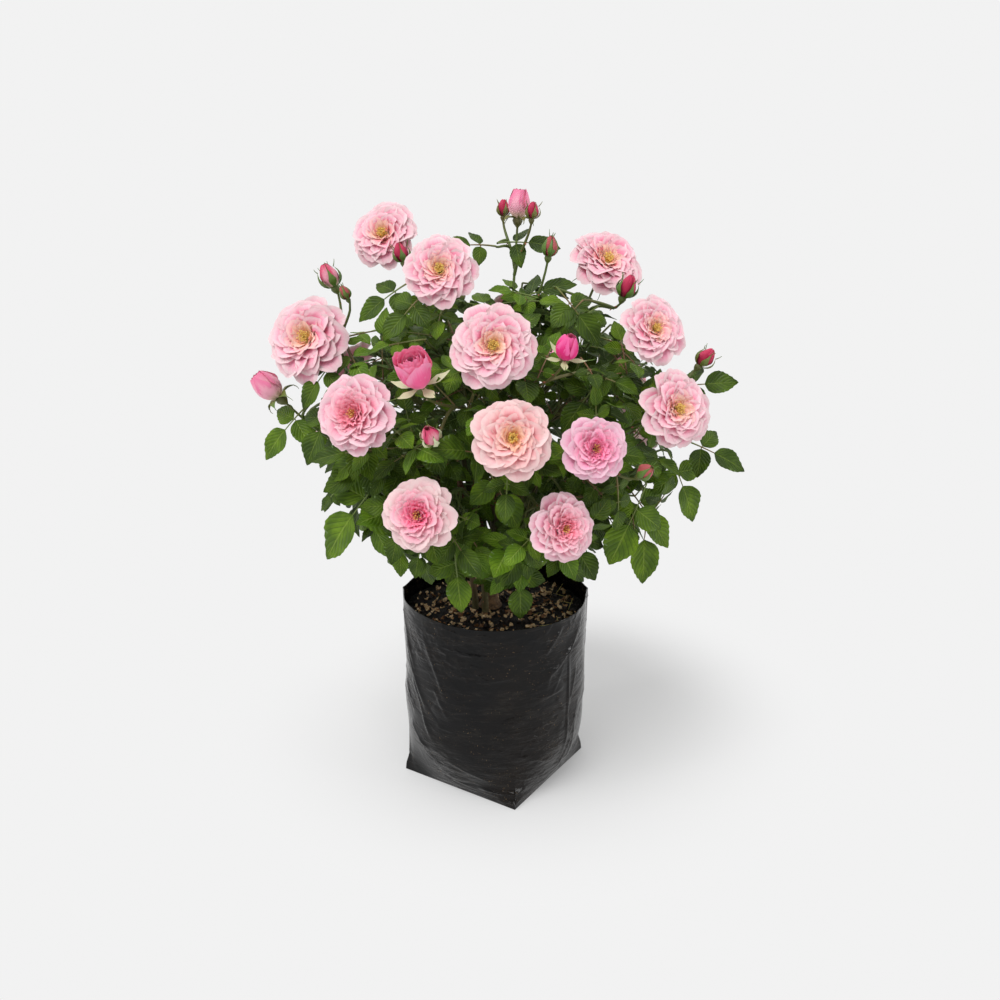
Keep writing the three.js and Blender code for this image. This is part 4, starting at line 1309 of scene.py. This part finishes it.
def sprig_tree(name, sides, top, bottom, ball):
    """At each point, a small tapering spike along its way, with a ball at its tip where it has one."""
    tree, values, sockets = node_group(name, [
        ("Thickness", "NodeSocketFloat", 1.0), ("Material", "NodeSocketMaterial", None)])
    points = tree.add("GeometryNodeMeshToPoints", None, values["Geometry"])
    spike = tree.add("GeometryNodeMeshCone", None, Vertices=sides,
                     **{"Radius Top": top, "Radius Bottom": bottom, "Depth": 1.0})
    if ball:
        blob = tree.add("GeometryNodeMeshIcoSphere", None, Radius=ball, Subdivisions=1)
        blob = tree.add("GeometryNodeTransform", None, blob, Translation=(0.0, 0.0, 1.0),
                        Scale=(1.0, 0.7, 0.8))
        join = tree.tree.nodes.new("GeometryNodeJoinGeometry")
        for part in (spike, blob):
            tree.tree.links.new(part.socket, join.inputs[0])
        spike = Value(tree, join.outputs[0])
    way = tree.add("GeometryNodeInputNamedAttribute", {"data_type": "FLOAT_VECTOR"}, "way")
    length = tree.add("GeometryNodeInputNamedAttribute", {"data_type": "FLOAT"}, "length")
    aim = tree.add("FunctionNodeAlignRotationToVector", {"axis": "Z"}, Vector=way)
    thick = length * values["Thickness"]
    scale = tree.add("ShaderNodeCombineXYZ", None, thick, thick, length)
    stood = tree.add("GeometryNodeInstanceOnPoints", None, points, Instance=spike, Rotation=aim,
                     Scale=scale)
    finish_group(tree, stood, values["Material"])
    return tree, sockets


def tubes_piece(name, runs, sides, group, material):
    """Tubes along runs of points, each with its own radii."""
    points, edges, radii = [], [], []
    for path, widths in runs:
        first = len(points)
        points += list(path)
        radii += [width * MM for width in widths]
        edges += [(first + k, first + k + 1) for k in range(len(path) - 1)]
    return worked(name, points, edges, {"radius": ("FLOAT", radii)}, group,
                  {"Sides": sides, "Material": material}, material)


def sprigs_piece(name, roots, group, thickness, material):
    """Spikes at roots, each with its own way and length."""
    points, ways, lengths = zip(*roots)
    fields = {"way": ("FLOAT_VECTOR", ways), "length": ("FLOAT", [length * MM for length in lengths])}
    return worked(name, points, [], fields, group, {"Thickness": thickness, "Material": material},
                  material)


# ---------------------------------------------------------------- stem and canes, with their bark's relief

# A limb's knots: how many, how far they stand out in shares of its radius, and how short they are; and
# the pitch of its ridges round it and along it, coarse and fine
KNOTS = {"count": 7.0, "stand": 0.10, "short": 0.004}
RIDGES = {"round": 1.7, "along": 9, "fine_round": 5.0, "fine_along": 30}
# The sides, steps and depth of relief of canes and of the main stem
CANE = {"sides": 12, "steps": 40, "relief": 0.07}
TRUNK = {"sides": 40, "steps": 70, "relief": 0.10}


def wood(joined, curve, radius, sides, steps, relief, seed):
    """A tapering limb with bark relief: knots where old leaves sat and ridges along it."""
    shares = np.arange(steps + 1) / steps
    middles = np.array([curve.at(s) for s in shares])
    runs = np.array([curve.run(s) for s in shares])
    first = unit(np.cross(runs, np.array([0.31, 0.95, 0.05])))
    second = np.cross(runs, first)
    turns = TAU * np.arange(sides) / sides
    rings = []
    for share, middle, a, b in zip(shares, middles, first, second):
        knots = KNOTS["stand"] * math.exp(-((share * KNOTS["count"]) % 1 - 0.5) ** 2 / KNOTS["short"])
        ring = []
        for turn in turns:
            out = a * math.cos(turn) + b * math.sin(turn)
            coarse_at = out * RIDGES["round"] + UP * (share * RIDGES["along"] + seed)
            fine_at = out * RIDGES["fine_round"] + UP * (share * RIDGES["fine_along"] + seed)
            rough, fine = noise.noise(Vector(coarse_at)), noise.noise(Vector(fine_at))
            ring.append(middle + out * radius(share) * (1 + knots + relief * (rough + 0.5 * fine)))
        rings.append(ring)
    joined.skin(np.array(rings), [middles[0], middles[-1]])


def stem_radius(share):
    """The main stem's radius: a flared foot, a waist, the swollen union where it was budded, a neck."""
    stops = [0, 0.15, 0.35, 0.65, 0.85, 1]
    radii = [STEM["flare"], STEM["waist"] + 1, STEM["waist"], STEM["union"], STEM["waist"], STEM["neck"]]
    return float(np.interp(share, stops, radii)) + STEM["toe"] * math.exp(-share * STEM["toe_ends"])


# ---------------------------------------------------------------- the bag and its fill

def bag_radius(turn, share):
    """The bag's outline: a turned square at the foot that swells to a round body."""
    square = BAG["side"] / 2 / np.maximum(abs(np.cos(turn)), abs(np.sin(turn)))
    rounded = BAG["body"] + (BAG["mouth"] - BAG["body"]) * share
    swell = np.sin(math.pi / 2 * np.minimum(1, share / BAG["square"]))
    return square + (rounded - square) * swell


def crease(arc, height, start, end, depth, width, lip=0.5):
    """A fold along a line on the unrolled film: sharp on one side and soft on the other."""
    (a0, z0), (a1, z1) = start, end
    along = np.array([a1 - a0, z1 - z0], float)
    size = np.hypot(*along)
    along /= size
    reach = ((arc - a0) * along[0] + (height - z0) * along[1]) / size
    off = (arc - a0) * -along[1] + (height - z0) * along[0]
    fade = ease(reach, -0.05, 0.2) * (1 - ease(reach, 0.7, 1.05))
    ridge = np.where(off > 0, np.exp(-abs(off) / width), np.exp(-(off / (width * lip)) ** 2))
    return depth * fade * ridge


# Folds, listed: bearing and height of each end, depth and width
FOLDS = [
    ((52, 170), (51, 18), 1.5, 1.8), ((48, 164), (68, 204), 1.9, 5.0), ((31, 174), (45, 205), 1.6, 4.0),
    ((35, 148), (66, 188), 2.0, 5.0), ((38, 150), (50, 132), -1.2, 4.0), ((53, 104), (62, 148), 1.5, 4.0),
    ((54, 60), (66, 104), 1.4, 4.0), ((40, 120), (50, 96), 1.0, 4.0), ((60, 60), (54, 16), 1.2, 3.0),
    ((-78, 207), (-58, 148), 2.0, 5.0), ((-72, 178), (-46, 96), 2.4, 6.0),
    ((-68, 74), (-44, 48), 1.8, 5.0), ((-47, 184), (-30, 120), 1.3, 5.0),
    ((-62, 130), (-42, 66), 1.9, 5.0), ((-56, 62), (-40, 26), 1.6, 5.0),
    ((-40, 132), (-28, 98), 0.9, 4.0), ((-76, 120), (-62, 84), 1.5, 4.0),
    ((-24, 179), (16, 181), 0.7, 1.6), ((16, 206), (16, 179), 0.6, 1.4),
    ((-24, 206), (-24, 180), 0.5, 1.4), ((10, 64), (46, 40), 1.2, 4.0), ((10, 34), (40, 26), 1.5, 3.5),
    ((-36, 48), (2, 26), 1.1, 4.0), ((-12, 15), (24, 18), 3.2, 3.4), ((2, 5), (20, 8), 2.6, 2.0),
    ((60, 90), (66, 20), 1.2, 4.0), ((-14, 118), (20, 122), 0.6, 2.4), ((130, 205), (134, 36), 1.6, 3.5),
    ((-134, 206), (-130, 40), 1.5, 3.5), ((110, 180), (96, 90), 1.6, 5.0),
    ((150, 150), (172, 120), 1.4, 5.0), ((-160, 190), (-172, 110), 1.5, 5.0),
    ((-110, 130), (-92, 80), 1.4, 5.0), ((-100, 196), (-116, 150), 1.6, 5.0),
    ((166, 70), (-176, 30), 1.2, 4.0), ((100, 60), (120, 24), 1.3, 4.0),
]
# Small creases dealt over the film: how many, where they start round it and up it, and the ranges of
# their reach, drop, depth and width; every so many runs steeply instead. All in millimetres on the
# unrolled film
CREASES = {"count": 360, "round": (-320, 320), "up": (12, 204), "reach": (10, 46), "drop": (-9, 9),
           "steep_every": 3, "steep_reach": (6, 26), "steep_drop": (-34, 34), "depth": (-0.6, 0.8),
           "width": (1.3, 3.6), "lip": 0.45}
# Slow waves over the whole film: how many, the ranges of their height, number round it and slant, and
# the share of their sum that is used
SWAYS = {"count": 14, "height": (0.25, 0.8), "round": (2, 9), "slant": (-0.09, 0.09), "share": 0.4}
# The flattened side pleats: their bearings, how far their edge stands out and how wide it is, the
# hollow beside it and its width in degrees, and the heights that they start and are full at
PLEATS = {"bearings": (-97, 93), "stand": 4.2, "edge": 5, "hollow": 1.8, "wide": 16, "from": 90,
          "to": 200}
# The pinch above the foot's corners: its width in radians, its depth, and where it starts and ends
PINCH = {"wide": 0.10, "deep": 2.2, "starts": (6, 20), "ends": (26, 60)}
# The rim's waves, how far it sags and where that starts
RIM = {"wave": 1.6, "ripple": 0.9, "sag": 1.6, "from": 150}


def film_shape(turn, height):
    """How far the film stands out from its plain outline at a turn and height."""
    bearing = (np.degrees(turn) + 90 + 180) % 360 - 180
    arc = bearing * math.pi / 180 * BAG["body"]
    to_arc = math.pi / 180 * BAG["body"]
    shift = np.zeros_like(arc)
    for (a0, z0), (a1, z1), depth, width in FOLDS:
        if abs(a1 - a0) > 180:
            a1 += 360 if a1 < a0 else -360
        for wrap in (-360, 0, 360):
            start, end = ((a0 + wrap) * to_arc, z0), ((a1 + wrap) * to_arc, z1)
            shift += crease(arc, height, start, end, depth, width)
    random = Seeded(SEEDS["creases"])
    for k in range(CREASES["count"]):
        a, z = random(*CREASES["round"]), random(*CREASES["up"])
        reach, drop = random(*CREASES["reach"]), random(*CREASES["drop"])
        if k % CREASES["steep_every"] == 0:
            reach, drop = random(*CREASES["steep_reach"]), random(*CREASES["steep_drop"])
        depth, width = random(*CREASES["depth"]), random(*CREASES["width"])
        shift += crease(arc, height, (a, z), (a + reach, z + drop), depth, width, CREASES["lip"])
    sway = 0
    for _ in range(SWAYS["count"]):
        tall, waves = random(*SWAYS["height"]), round(random(*SWAYS["round"]))
        sway = sway + tall * np.sin(turn * waves + height * random(*SWAYS["slant"]) + random(0, TAU))
    return shift + sway * SWAYS["share"] * ease(height, 6, 50) * (1 - 0.4 * ease(height, 180, 210))


def bag_piece(material):
    """Film with folds, a wavy rim, a pinch above its foot's corners and a lining down to the mix."""
    sides, hem_rows, rows, hem = 400, 8, 146, 0.05
    turns = TAU * np.arange(sides) / sides
    levels = np.concatenate([np.linspace(0, hem, hem_rows + 1)[:-1], np.linspace(hem, 1, rows + 1)])
    heights = BAG_TOP * levels
    turn, height = np.meshgrid(turns, heights)
    world = turn + math.radians(BAG["turn"])
    outer = bag_radius(turn, height / BAG_TOP) + film_shape(world, height) * ease(height, 0, 8)
    for bearing in PLEATS["bearings"]:
        off = (np.degrees(world) + 90 - bearing + 180) % 360 - 180
        pleat = PLEATS["stand"] * np.exp(-abs(off) / PLEATS["edge"])
        pleat = pleat - PLEATS["hollow"] * np.exp(-(off / PLEATS["wide"]) ** 2)
        outer = outer + pleat * ease(height, PLEATS["from"], PLEATS["to"])
    off = (turn - TAU / 8) % (TAU / 4)
    off = (off + TAU / 8) % (TAU / 4) - TAU / 8
    corner = np.exp(-(off / PINCH["wide"]) ** 2)
    pinched = ease(height, *PINCH["starts"]) * (1 - ease(height, *PINCH["ends"]))
    outer = outer - corner * PINCH["deep"] * pinched
    rim = RIM["wave"] * np.sin(world * 2 + 0.4) + RIM["ripple"] * np.sin(world * 5 + 1.3)
    upper = ease(height, RIM["from"], BAG_TOP)
    lifted = height + rim * upper - RIM["sag"] * upper

    def wall(radius, level):
        return np.stack([radius * np.cos(world), radius * np.sin(world), level], -1)

    inside = heights > MIX_TOP - BAG["lining"]
    lining = wall(outer - BAG["film"], lifted)[inside][::-1]
    joined = Joined()
    ends = [(0, 0, 0), (0, 0, lining[-1, :, 2].mean())]
    joined.skin(np.concatenate([wall(outer, lifted), lining]), ends)
    return joined.piece("nursery_bag_film", [material], sharp=75)


def mix_height(x, y):
    """The lumpy top of the potting mix."""
    far = math.hypot(x, y) / BAG["mouth"]
    lumps = noise.fractal(Vector((x * MIX["lump_pitch"], y * MIX["lump_pitch"], 3.1)), 1.0, 2.0, 4)
    return MIX_TOP - MIX["sunk"] - MIX["dish"] * far ** 2 + MIX["lumps"] * lumps


def mix_piece(material):
    """The mix's top, with a skirt down inside the film and a flat underside."""
    rings, sides = 40, 120
    edge, floor = BAG["body"] + MIX["past"], MIX_TOP - MIX["skirt"]
    turns = TAU * np.arange(sides) / sides
    points = []
    for k in range(1, rings + 1):
        radius = edge * k / rings
        for turn in turns:
            x, y = radius * math.cos(turn), radius * math.sin(turn)
            points.append((x, y, mix_height(x, y)))
    points += [(edge * math.cos(turn), edge * math.sin(turn), floor) for turn in turns]
    joined = Joined()
    joined.skin(np.array(points).reshape(rings + 1, sides, 3), [(0, 0, mix_height(0, 0)), (0, 0, floor)],
                downward=True)
    return joined.piece("mix_surface", [material])


CHIP_BLADE = Blade(3, 2)
# Chips on the mix: how many are dealt, how near the film and the stem they lie, and the ranges of their
# length, and of width and thickness in shares of it; straws lie among them on one side
CHIPS = {"count": 900, "off_film": 6, "off_stem": 14, "length": (3.0, 7.5), "width": (0.45, 0.85),
         "thick": (0.10, 0.28), "above": (0.4, 2.4), "curl": (-0.1, 0.2), "cup": (0, 0.5), "jag": 0.25}
STRAW = {"every": 30, "length": (14, 26), "width": 0.9, "thick": 0.45, "finish": 2}
# The finishes that chips are dealt, by their places in the piece's list
CHIP_FINISHES = (0, 0, 1, 3, 3)


def chips_piece(materials):
    """Bark chips, husks and straw lying on the mix."""
    random = Seeded(SEEDS["chips"])
    b = CHIP_BLADE
    joined = Joined()
    for k in range(CHIPS["count"]):
        turn, far = random(0, TAU), math.sqrt(random(0.02, 1)) * (BAG["body"] - CHIPS["off_film"])
        x, y = far * math.cos(turn), far * math.sin(turn)
        if math.hypot(x - STEM["lean"], y) < CHIPS["off_stem"]:
            continue
        straw = k % STRAW["every"] == 0 and x > 0
        length = random(*(STRAW if straw else CHIPS)["length"])
        width = STRAW["width"] if straw else length * random(*CHIPS["width"])
        way = unit(np.array([random(-1, 1), random(-1, 1), random(-0.5, 0.6)]))
        lean = unit(UP + np.array([random(-1, 1), random(-1, 1), 0]) * 1.1)
        side = unit(np.cross(lean, way))
        normal = np.cross(way, side)
        outline = 0.62 + 0.38 * np.sin(math.pi * b.v)
        curl = length * random(*CHIPS["curl"]) * (b.v - 0.5) ** 2 * 2
        cup = width * random(*CHIPS["cup"]) * b.u ** 2
        rise = curl + cup + b.face * (STRAW["thick"] if straw else length * random(*CHIPS["thick"]))
        jag = 1 + CHIPS["jag"] * np.sin(b.u * 7 + b.v * 11 + k)
        middle = np.array([x, y, mix_height(x, y) + random(*CHIPS["above"])])
        points = (middle + way * ((b.v - 0.5) * length * jag)[:, None]
                  + side * (b.u * width * 0.5 * outline * jag)[:, None] + normal * rise[:, None])
        slot = STRAW["finish"] if straw else CHIP_FINISHES[int(random(0, len(CHIP_FINISHES) - 0.001))]
        joined.add(points[None], b.faces, b.marks, slot)
    return joined.piece("bark_chips", materials, sharp=35)


# ---------------------------------------------------------------- stage, light and camera

# The backdrop's brightness all round, and behind the camera; where it changes along Y
PAPER = 0.887
DARK_SIDE = 0.42
TURNS_DARK = (-0.7, 0.3)
# The floor: how much it reflects and glows, the middle of its shaded part and where that fades and
# ends, its size and how far it lies under the bag, in metres
FLOOR = {"reflects": 0.56, "glows": 0.20, "middle": (0.04, 0.13, 0.0), "near": 0.16, "far": 0.38,
         "size": 40, "below": 0.0004}
# Each light: the side it shines from, how wide its sun is in degrees, and its strength
SUNS = {"key": ((-0.9, -1.5, 2.6), 34, 1.9), "fill": ((1.8, -0.75, 0.32), 14, 0.52),
        "kicker": ((-2.2, -1.0, 0.8), 9, 0.24)}
# Where the camera stands, how many degrees it looks down, its lens and the width of its sensor
CAMERA = {"at": (0.0057, -1.043, 0.656), "down": 18.2, "lens": 37.3, "sensor": 36.0}


def floor_finish():
    """White paper that takes the bush's shadow near it and fades into the backdrop further off."""
    f = Finish("paper")
    f.set(Base_Color=(FLOOR["reflects"],) * 3, Roughness=1.0, Specular_IOR_Level=0.0,
          Emission_Color=(1, 1, 1), Emission_Strength=FLOOR["glows"])
    away = f.add("ShaderNodeVectorMath", {"operation": "DISTANCE"}, f.place(), FLOOR["middle"],
                 out="Value")
    paper = f.add("ShaderNodeEmission", None, (1, 1, 1, 1), PAPER)
    shaded = Value(f, f.shader.outputs["BSDF"])
    mixed = f.add("ShaderNodeMixShader", None, away.between(FLOOR["near"], FLOOR["far"]), shaded, paper)
    f.tree.links.new(mixed.socket, f.tree.nodes["Material Output"].inputs["Surface"])
    return f.material


def stage():
    bpy.ops.mesh.primitive_plane_add(size=FLOOR["size"], location=(0, 0, -FLOOR["below"]))
    floor = bpy.context.object
    floor.name = "studio_floor"
    floor.data.materials.append(floor_finish())


def sun(name, place, wide, strength):
    light = bpy.data.lights.new(name, "SUN")
    light.angle, light.energy = math.radians(wide), strength
    held = bpy.data.objects.new(name, light)
    held.location = place
    held.rotation_euler = (-Vector(place)).to_track_quat("-Z", "Y").to_euler()
    scene.collection.objects.link(held)


def studio():
    """A white room, darker behind the camera, and the suns that light the bush from the front."""
    world = bpy.data.worlds.new("studio")
    scene.world = world
    world.use_nodes = True
    tree = Tree(world.node_tree)
    way = tree.add("ShaderNodeTexCoord", out="Generated")
    depth = tree.add("ShaderNodeSeparateXYZ", None, way, out="Y")
    light = tree.blend(depth.between(*TURNS_DARK), (DARK_SIDE,) * 3, (PAPER,) * 3)
    tree.tree.links.new(light.socket, world.node_tree.nodes["Background"].inputs["Color"])
    for name, measures in SUNS.items():
        sun(name, *measures)


def camera():
    lens = bpy.data.cameras.new("camera")
    lens.lens, lens.sensor_width = CAMERA["lens"], CAMERA["sensor"]
    eye = bpy.data.objects.new("camera", lens)
    eye.location = CAMERA["at"]
    eye.rotation_euler = (math.radians(90 - CAMERA["down"]), 0, 0)
    scene.collection.objects.link(eye)
    scene.camera = eye


# ---------------------------------------------------------------- the whole bush

def put(piece, slot, *nodes):
    """Hands a finished piece over to the root body and hides the nodes that it stands for; its slot is not
    used.
    """
    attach(piece, "root")
    if nodes:
        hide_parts(*nodes)


# The leaves' upper faces: dark, light, rib and roughness, in the order of LEAF_TINTS
LEAF_FINISHES = [("32480B", "4F6911", "768A3A", 0.36), ("46620D", "678515", "8CA242", 0.38),
                 ("4C6C12", "6A8A1E", "9AB052", 0.40), ("527416", "6C8E28", "AABF66", 0.42)]
# How many sides tubes have
TUBE_SIDES = {"sepal_tails": 4, "shoots": 7, "leaf_stalks": 4}
# A prickle's cone and a stamen's thread with its ball: sides, radii at the top and bottom, and the ball's
SPIKE = (5, 0.02, 0.42, 0)
ANTHER = (3, 0.03, 0.05, 0.13)


def two_tone(finish, name, dark, pale, *rough):
    """A finish from two colours written as codes."""
    return finish(name, colour(dark), colour(pale), *rough)


def dress_leaves(leaflets):
    materials = [leaf_finish("leaf_" + tint, *map(colour, codes), rough)
                 for tint, (*codes, rough) in zip(LEAF_TINTS, LEAF_FINISHES)]
    materials.append(underleaf_finish())
    for side in SIDES:
        nodes = ["foliage_" + grown["name"] for grown in MASSES if side_of(grown) == side]
        put(leaves_piece(side, leaflets[side], materials), "foliage", *nodes)


def dress_flowers(tubes):
    """Petals, sepals and their tails; returns the roots of the stamens."""
    materials, starts = petal_materials()
    petals, calyxes, tails, stamens = dress_heads(starts)
    for side in SIDES:
        put(petals[side].piece(f"petals_{side}", materials, sharp=60), "petals")
    green = two_tone(stalk_finish, "sepal_green", "55782A", "6E7034")
    cream = two_tone(stalk_finish, "sepal_cream", "D3D9B2", "B4C28C")
    put(calyxes.piece("sepals", [green, cream]), "foliage")
    put(tubes_piece("sepal_tails", tails, TUBE_SIDES["sepal_tails"], tubes, green), "foliage")
    return stamens


def dress_wood(crown, limbs, tubes):
    """Shoots, stalks, canes with their prickles, and the main stem."""
    shoot_bark = two_tone(stalk_finish, "shoot_bark", "56682C", "5E5A30")
    put(tubes_piece("shoots", crown.shoots, TUBE_SIDES["shoots"], tubes, shoot_bark), "green_bark")
    leaf_stalk = two_tone(stalk_finish, "leaf_stalk", "6A7D3A", "7E5B40")
    put(tubes_piece("leaf_stalks", crown.stalks, TUBE_SIDES["leaf_stalks"], tubes, leaf_stalk), "foliage")
    canes = Joined()
    random = Seeded(SEEDS["canes"])
    sources = {grown["name"]: grown["from"] for grown in MASSES}
    for k, (name, limb) in enumerate(limbs.items()):
        thick = LIMB["root"] if sources[name] in ("stem", "soil") else LIMB["side"]

        def taper(share, root=thick):
            return root + (TWIG["stem"] - root) * share

        wood(canes, limb, taper, **CANE, seed=10 * k)
        crown.thorns_on(limb, (thick, TWIG["stem"]), random)
    cane_bark = two_tone(stalk_finish, "cane_bark", "4E4A2A", "6B452D", 0.66)
    put(canes.piece("canes", [cane_bark]), "green_bark", *["limb_" + name for name in limbs])
    prickle = two_tone(plain_finish, "prickle", "7A3B2A", "A8674A", 0.5)
    spikes = sprig_tree("prickles_on_canes", *SPIKE)
    put(sprigs_piece("prickles", crown.prickles, spikes, 1.0, prickle), "bark")
    stem = Joined()
    wood(stem, STEM_CURVE, stem_radius, **TRUNK, seed=3)
    put(stem.piece("stem_bark", [bark_finish()]), "bark", "main_stem")


def dress_bag():
    put(bag_piece(film_finish()), "bag_film", "nursery_bag")
    put(mix_piece(mix_finish()), "potting_mix", "potting_mix")
    chips = [("chip_tan", "B08655", "FAE0B6"), ("chip_brown", "50331C", "96693F"),
             ("straw", "9E9150", "D6CC88"), ("chip_dark", "0D0805", "2A1B11")]
    put(chips_piece([two_tone(chip_finish, *chip) for chip in chips]), "potting_mix")


def build():
    camera()
    studio()
    stage()
    limbs = grow_limbs()
    crown = Crown()
    for own, grown in enumerate(MASSES):
        crown.grow(own, grown, limbs)
    tubes = twig_tree()
    dress_leaves(crown.leaflets)
    stamens = dress_flowers(tubes)
    dress_wood(crown, limbs, tubes)
    stamen = two_tone(plain_finish, "stamen", "DEB03A", "FBE28A", 0.7)
    anthers = sprig_tree("stamens_in_blooms", *ANTHER)
    put(sprigs_piece("stamens", stamens, anthers, 1.0, stamen), "stamens")
    dress_bag()


build()
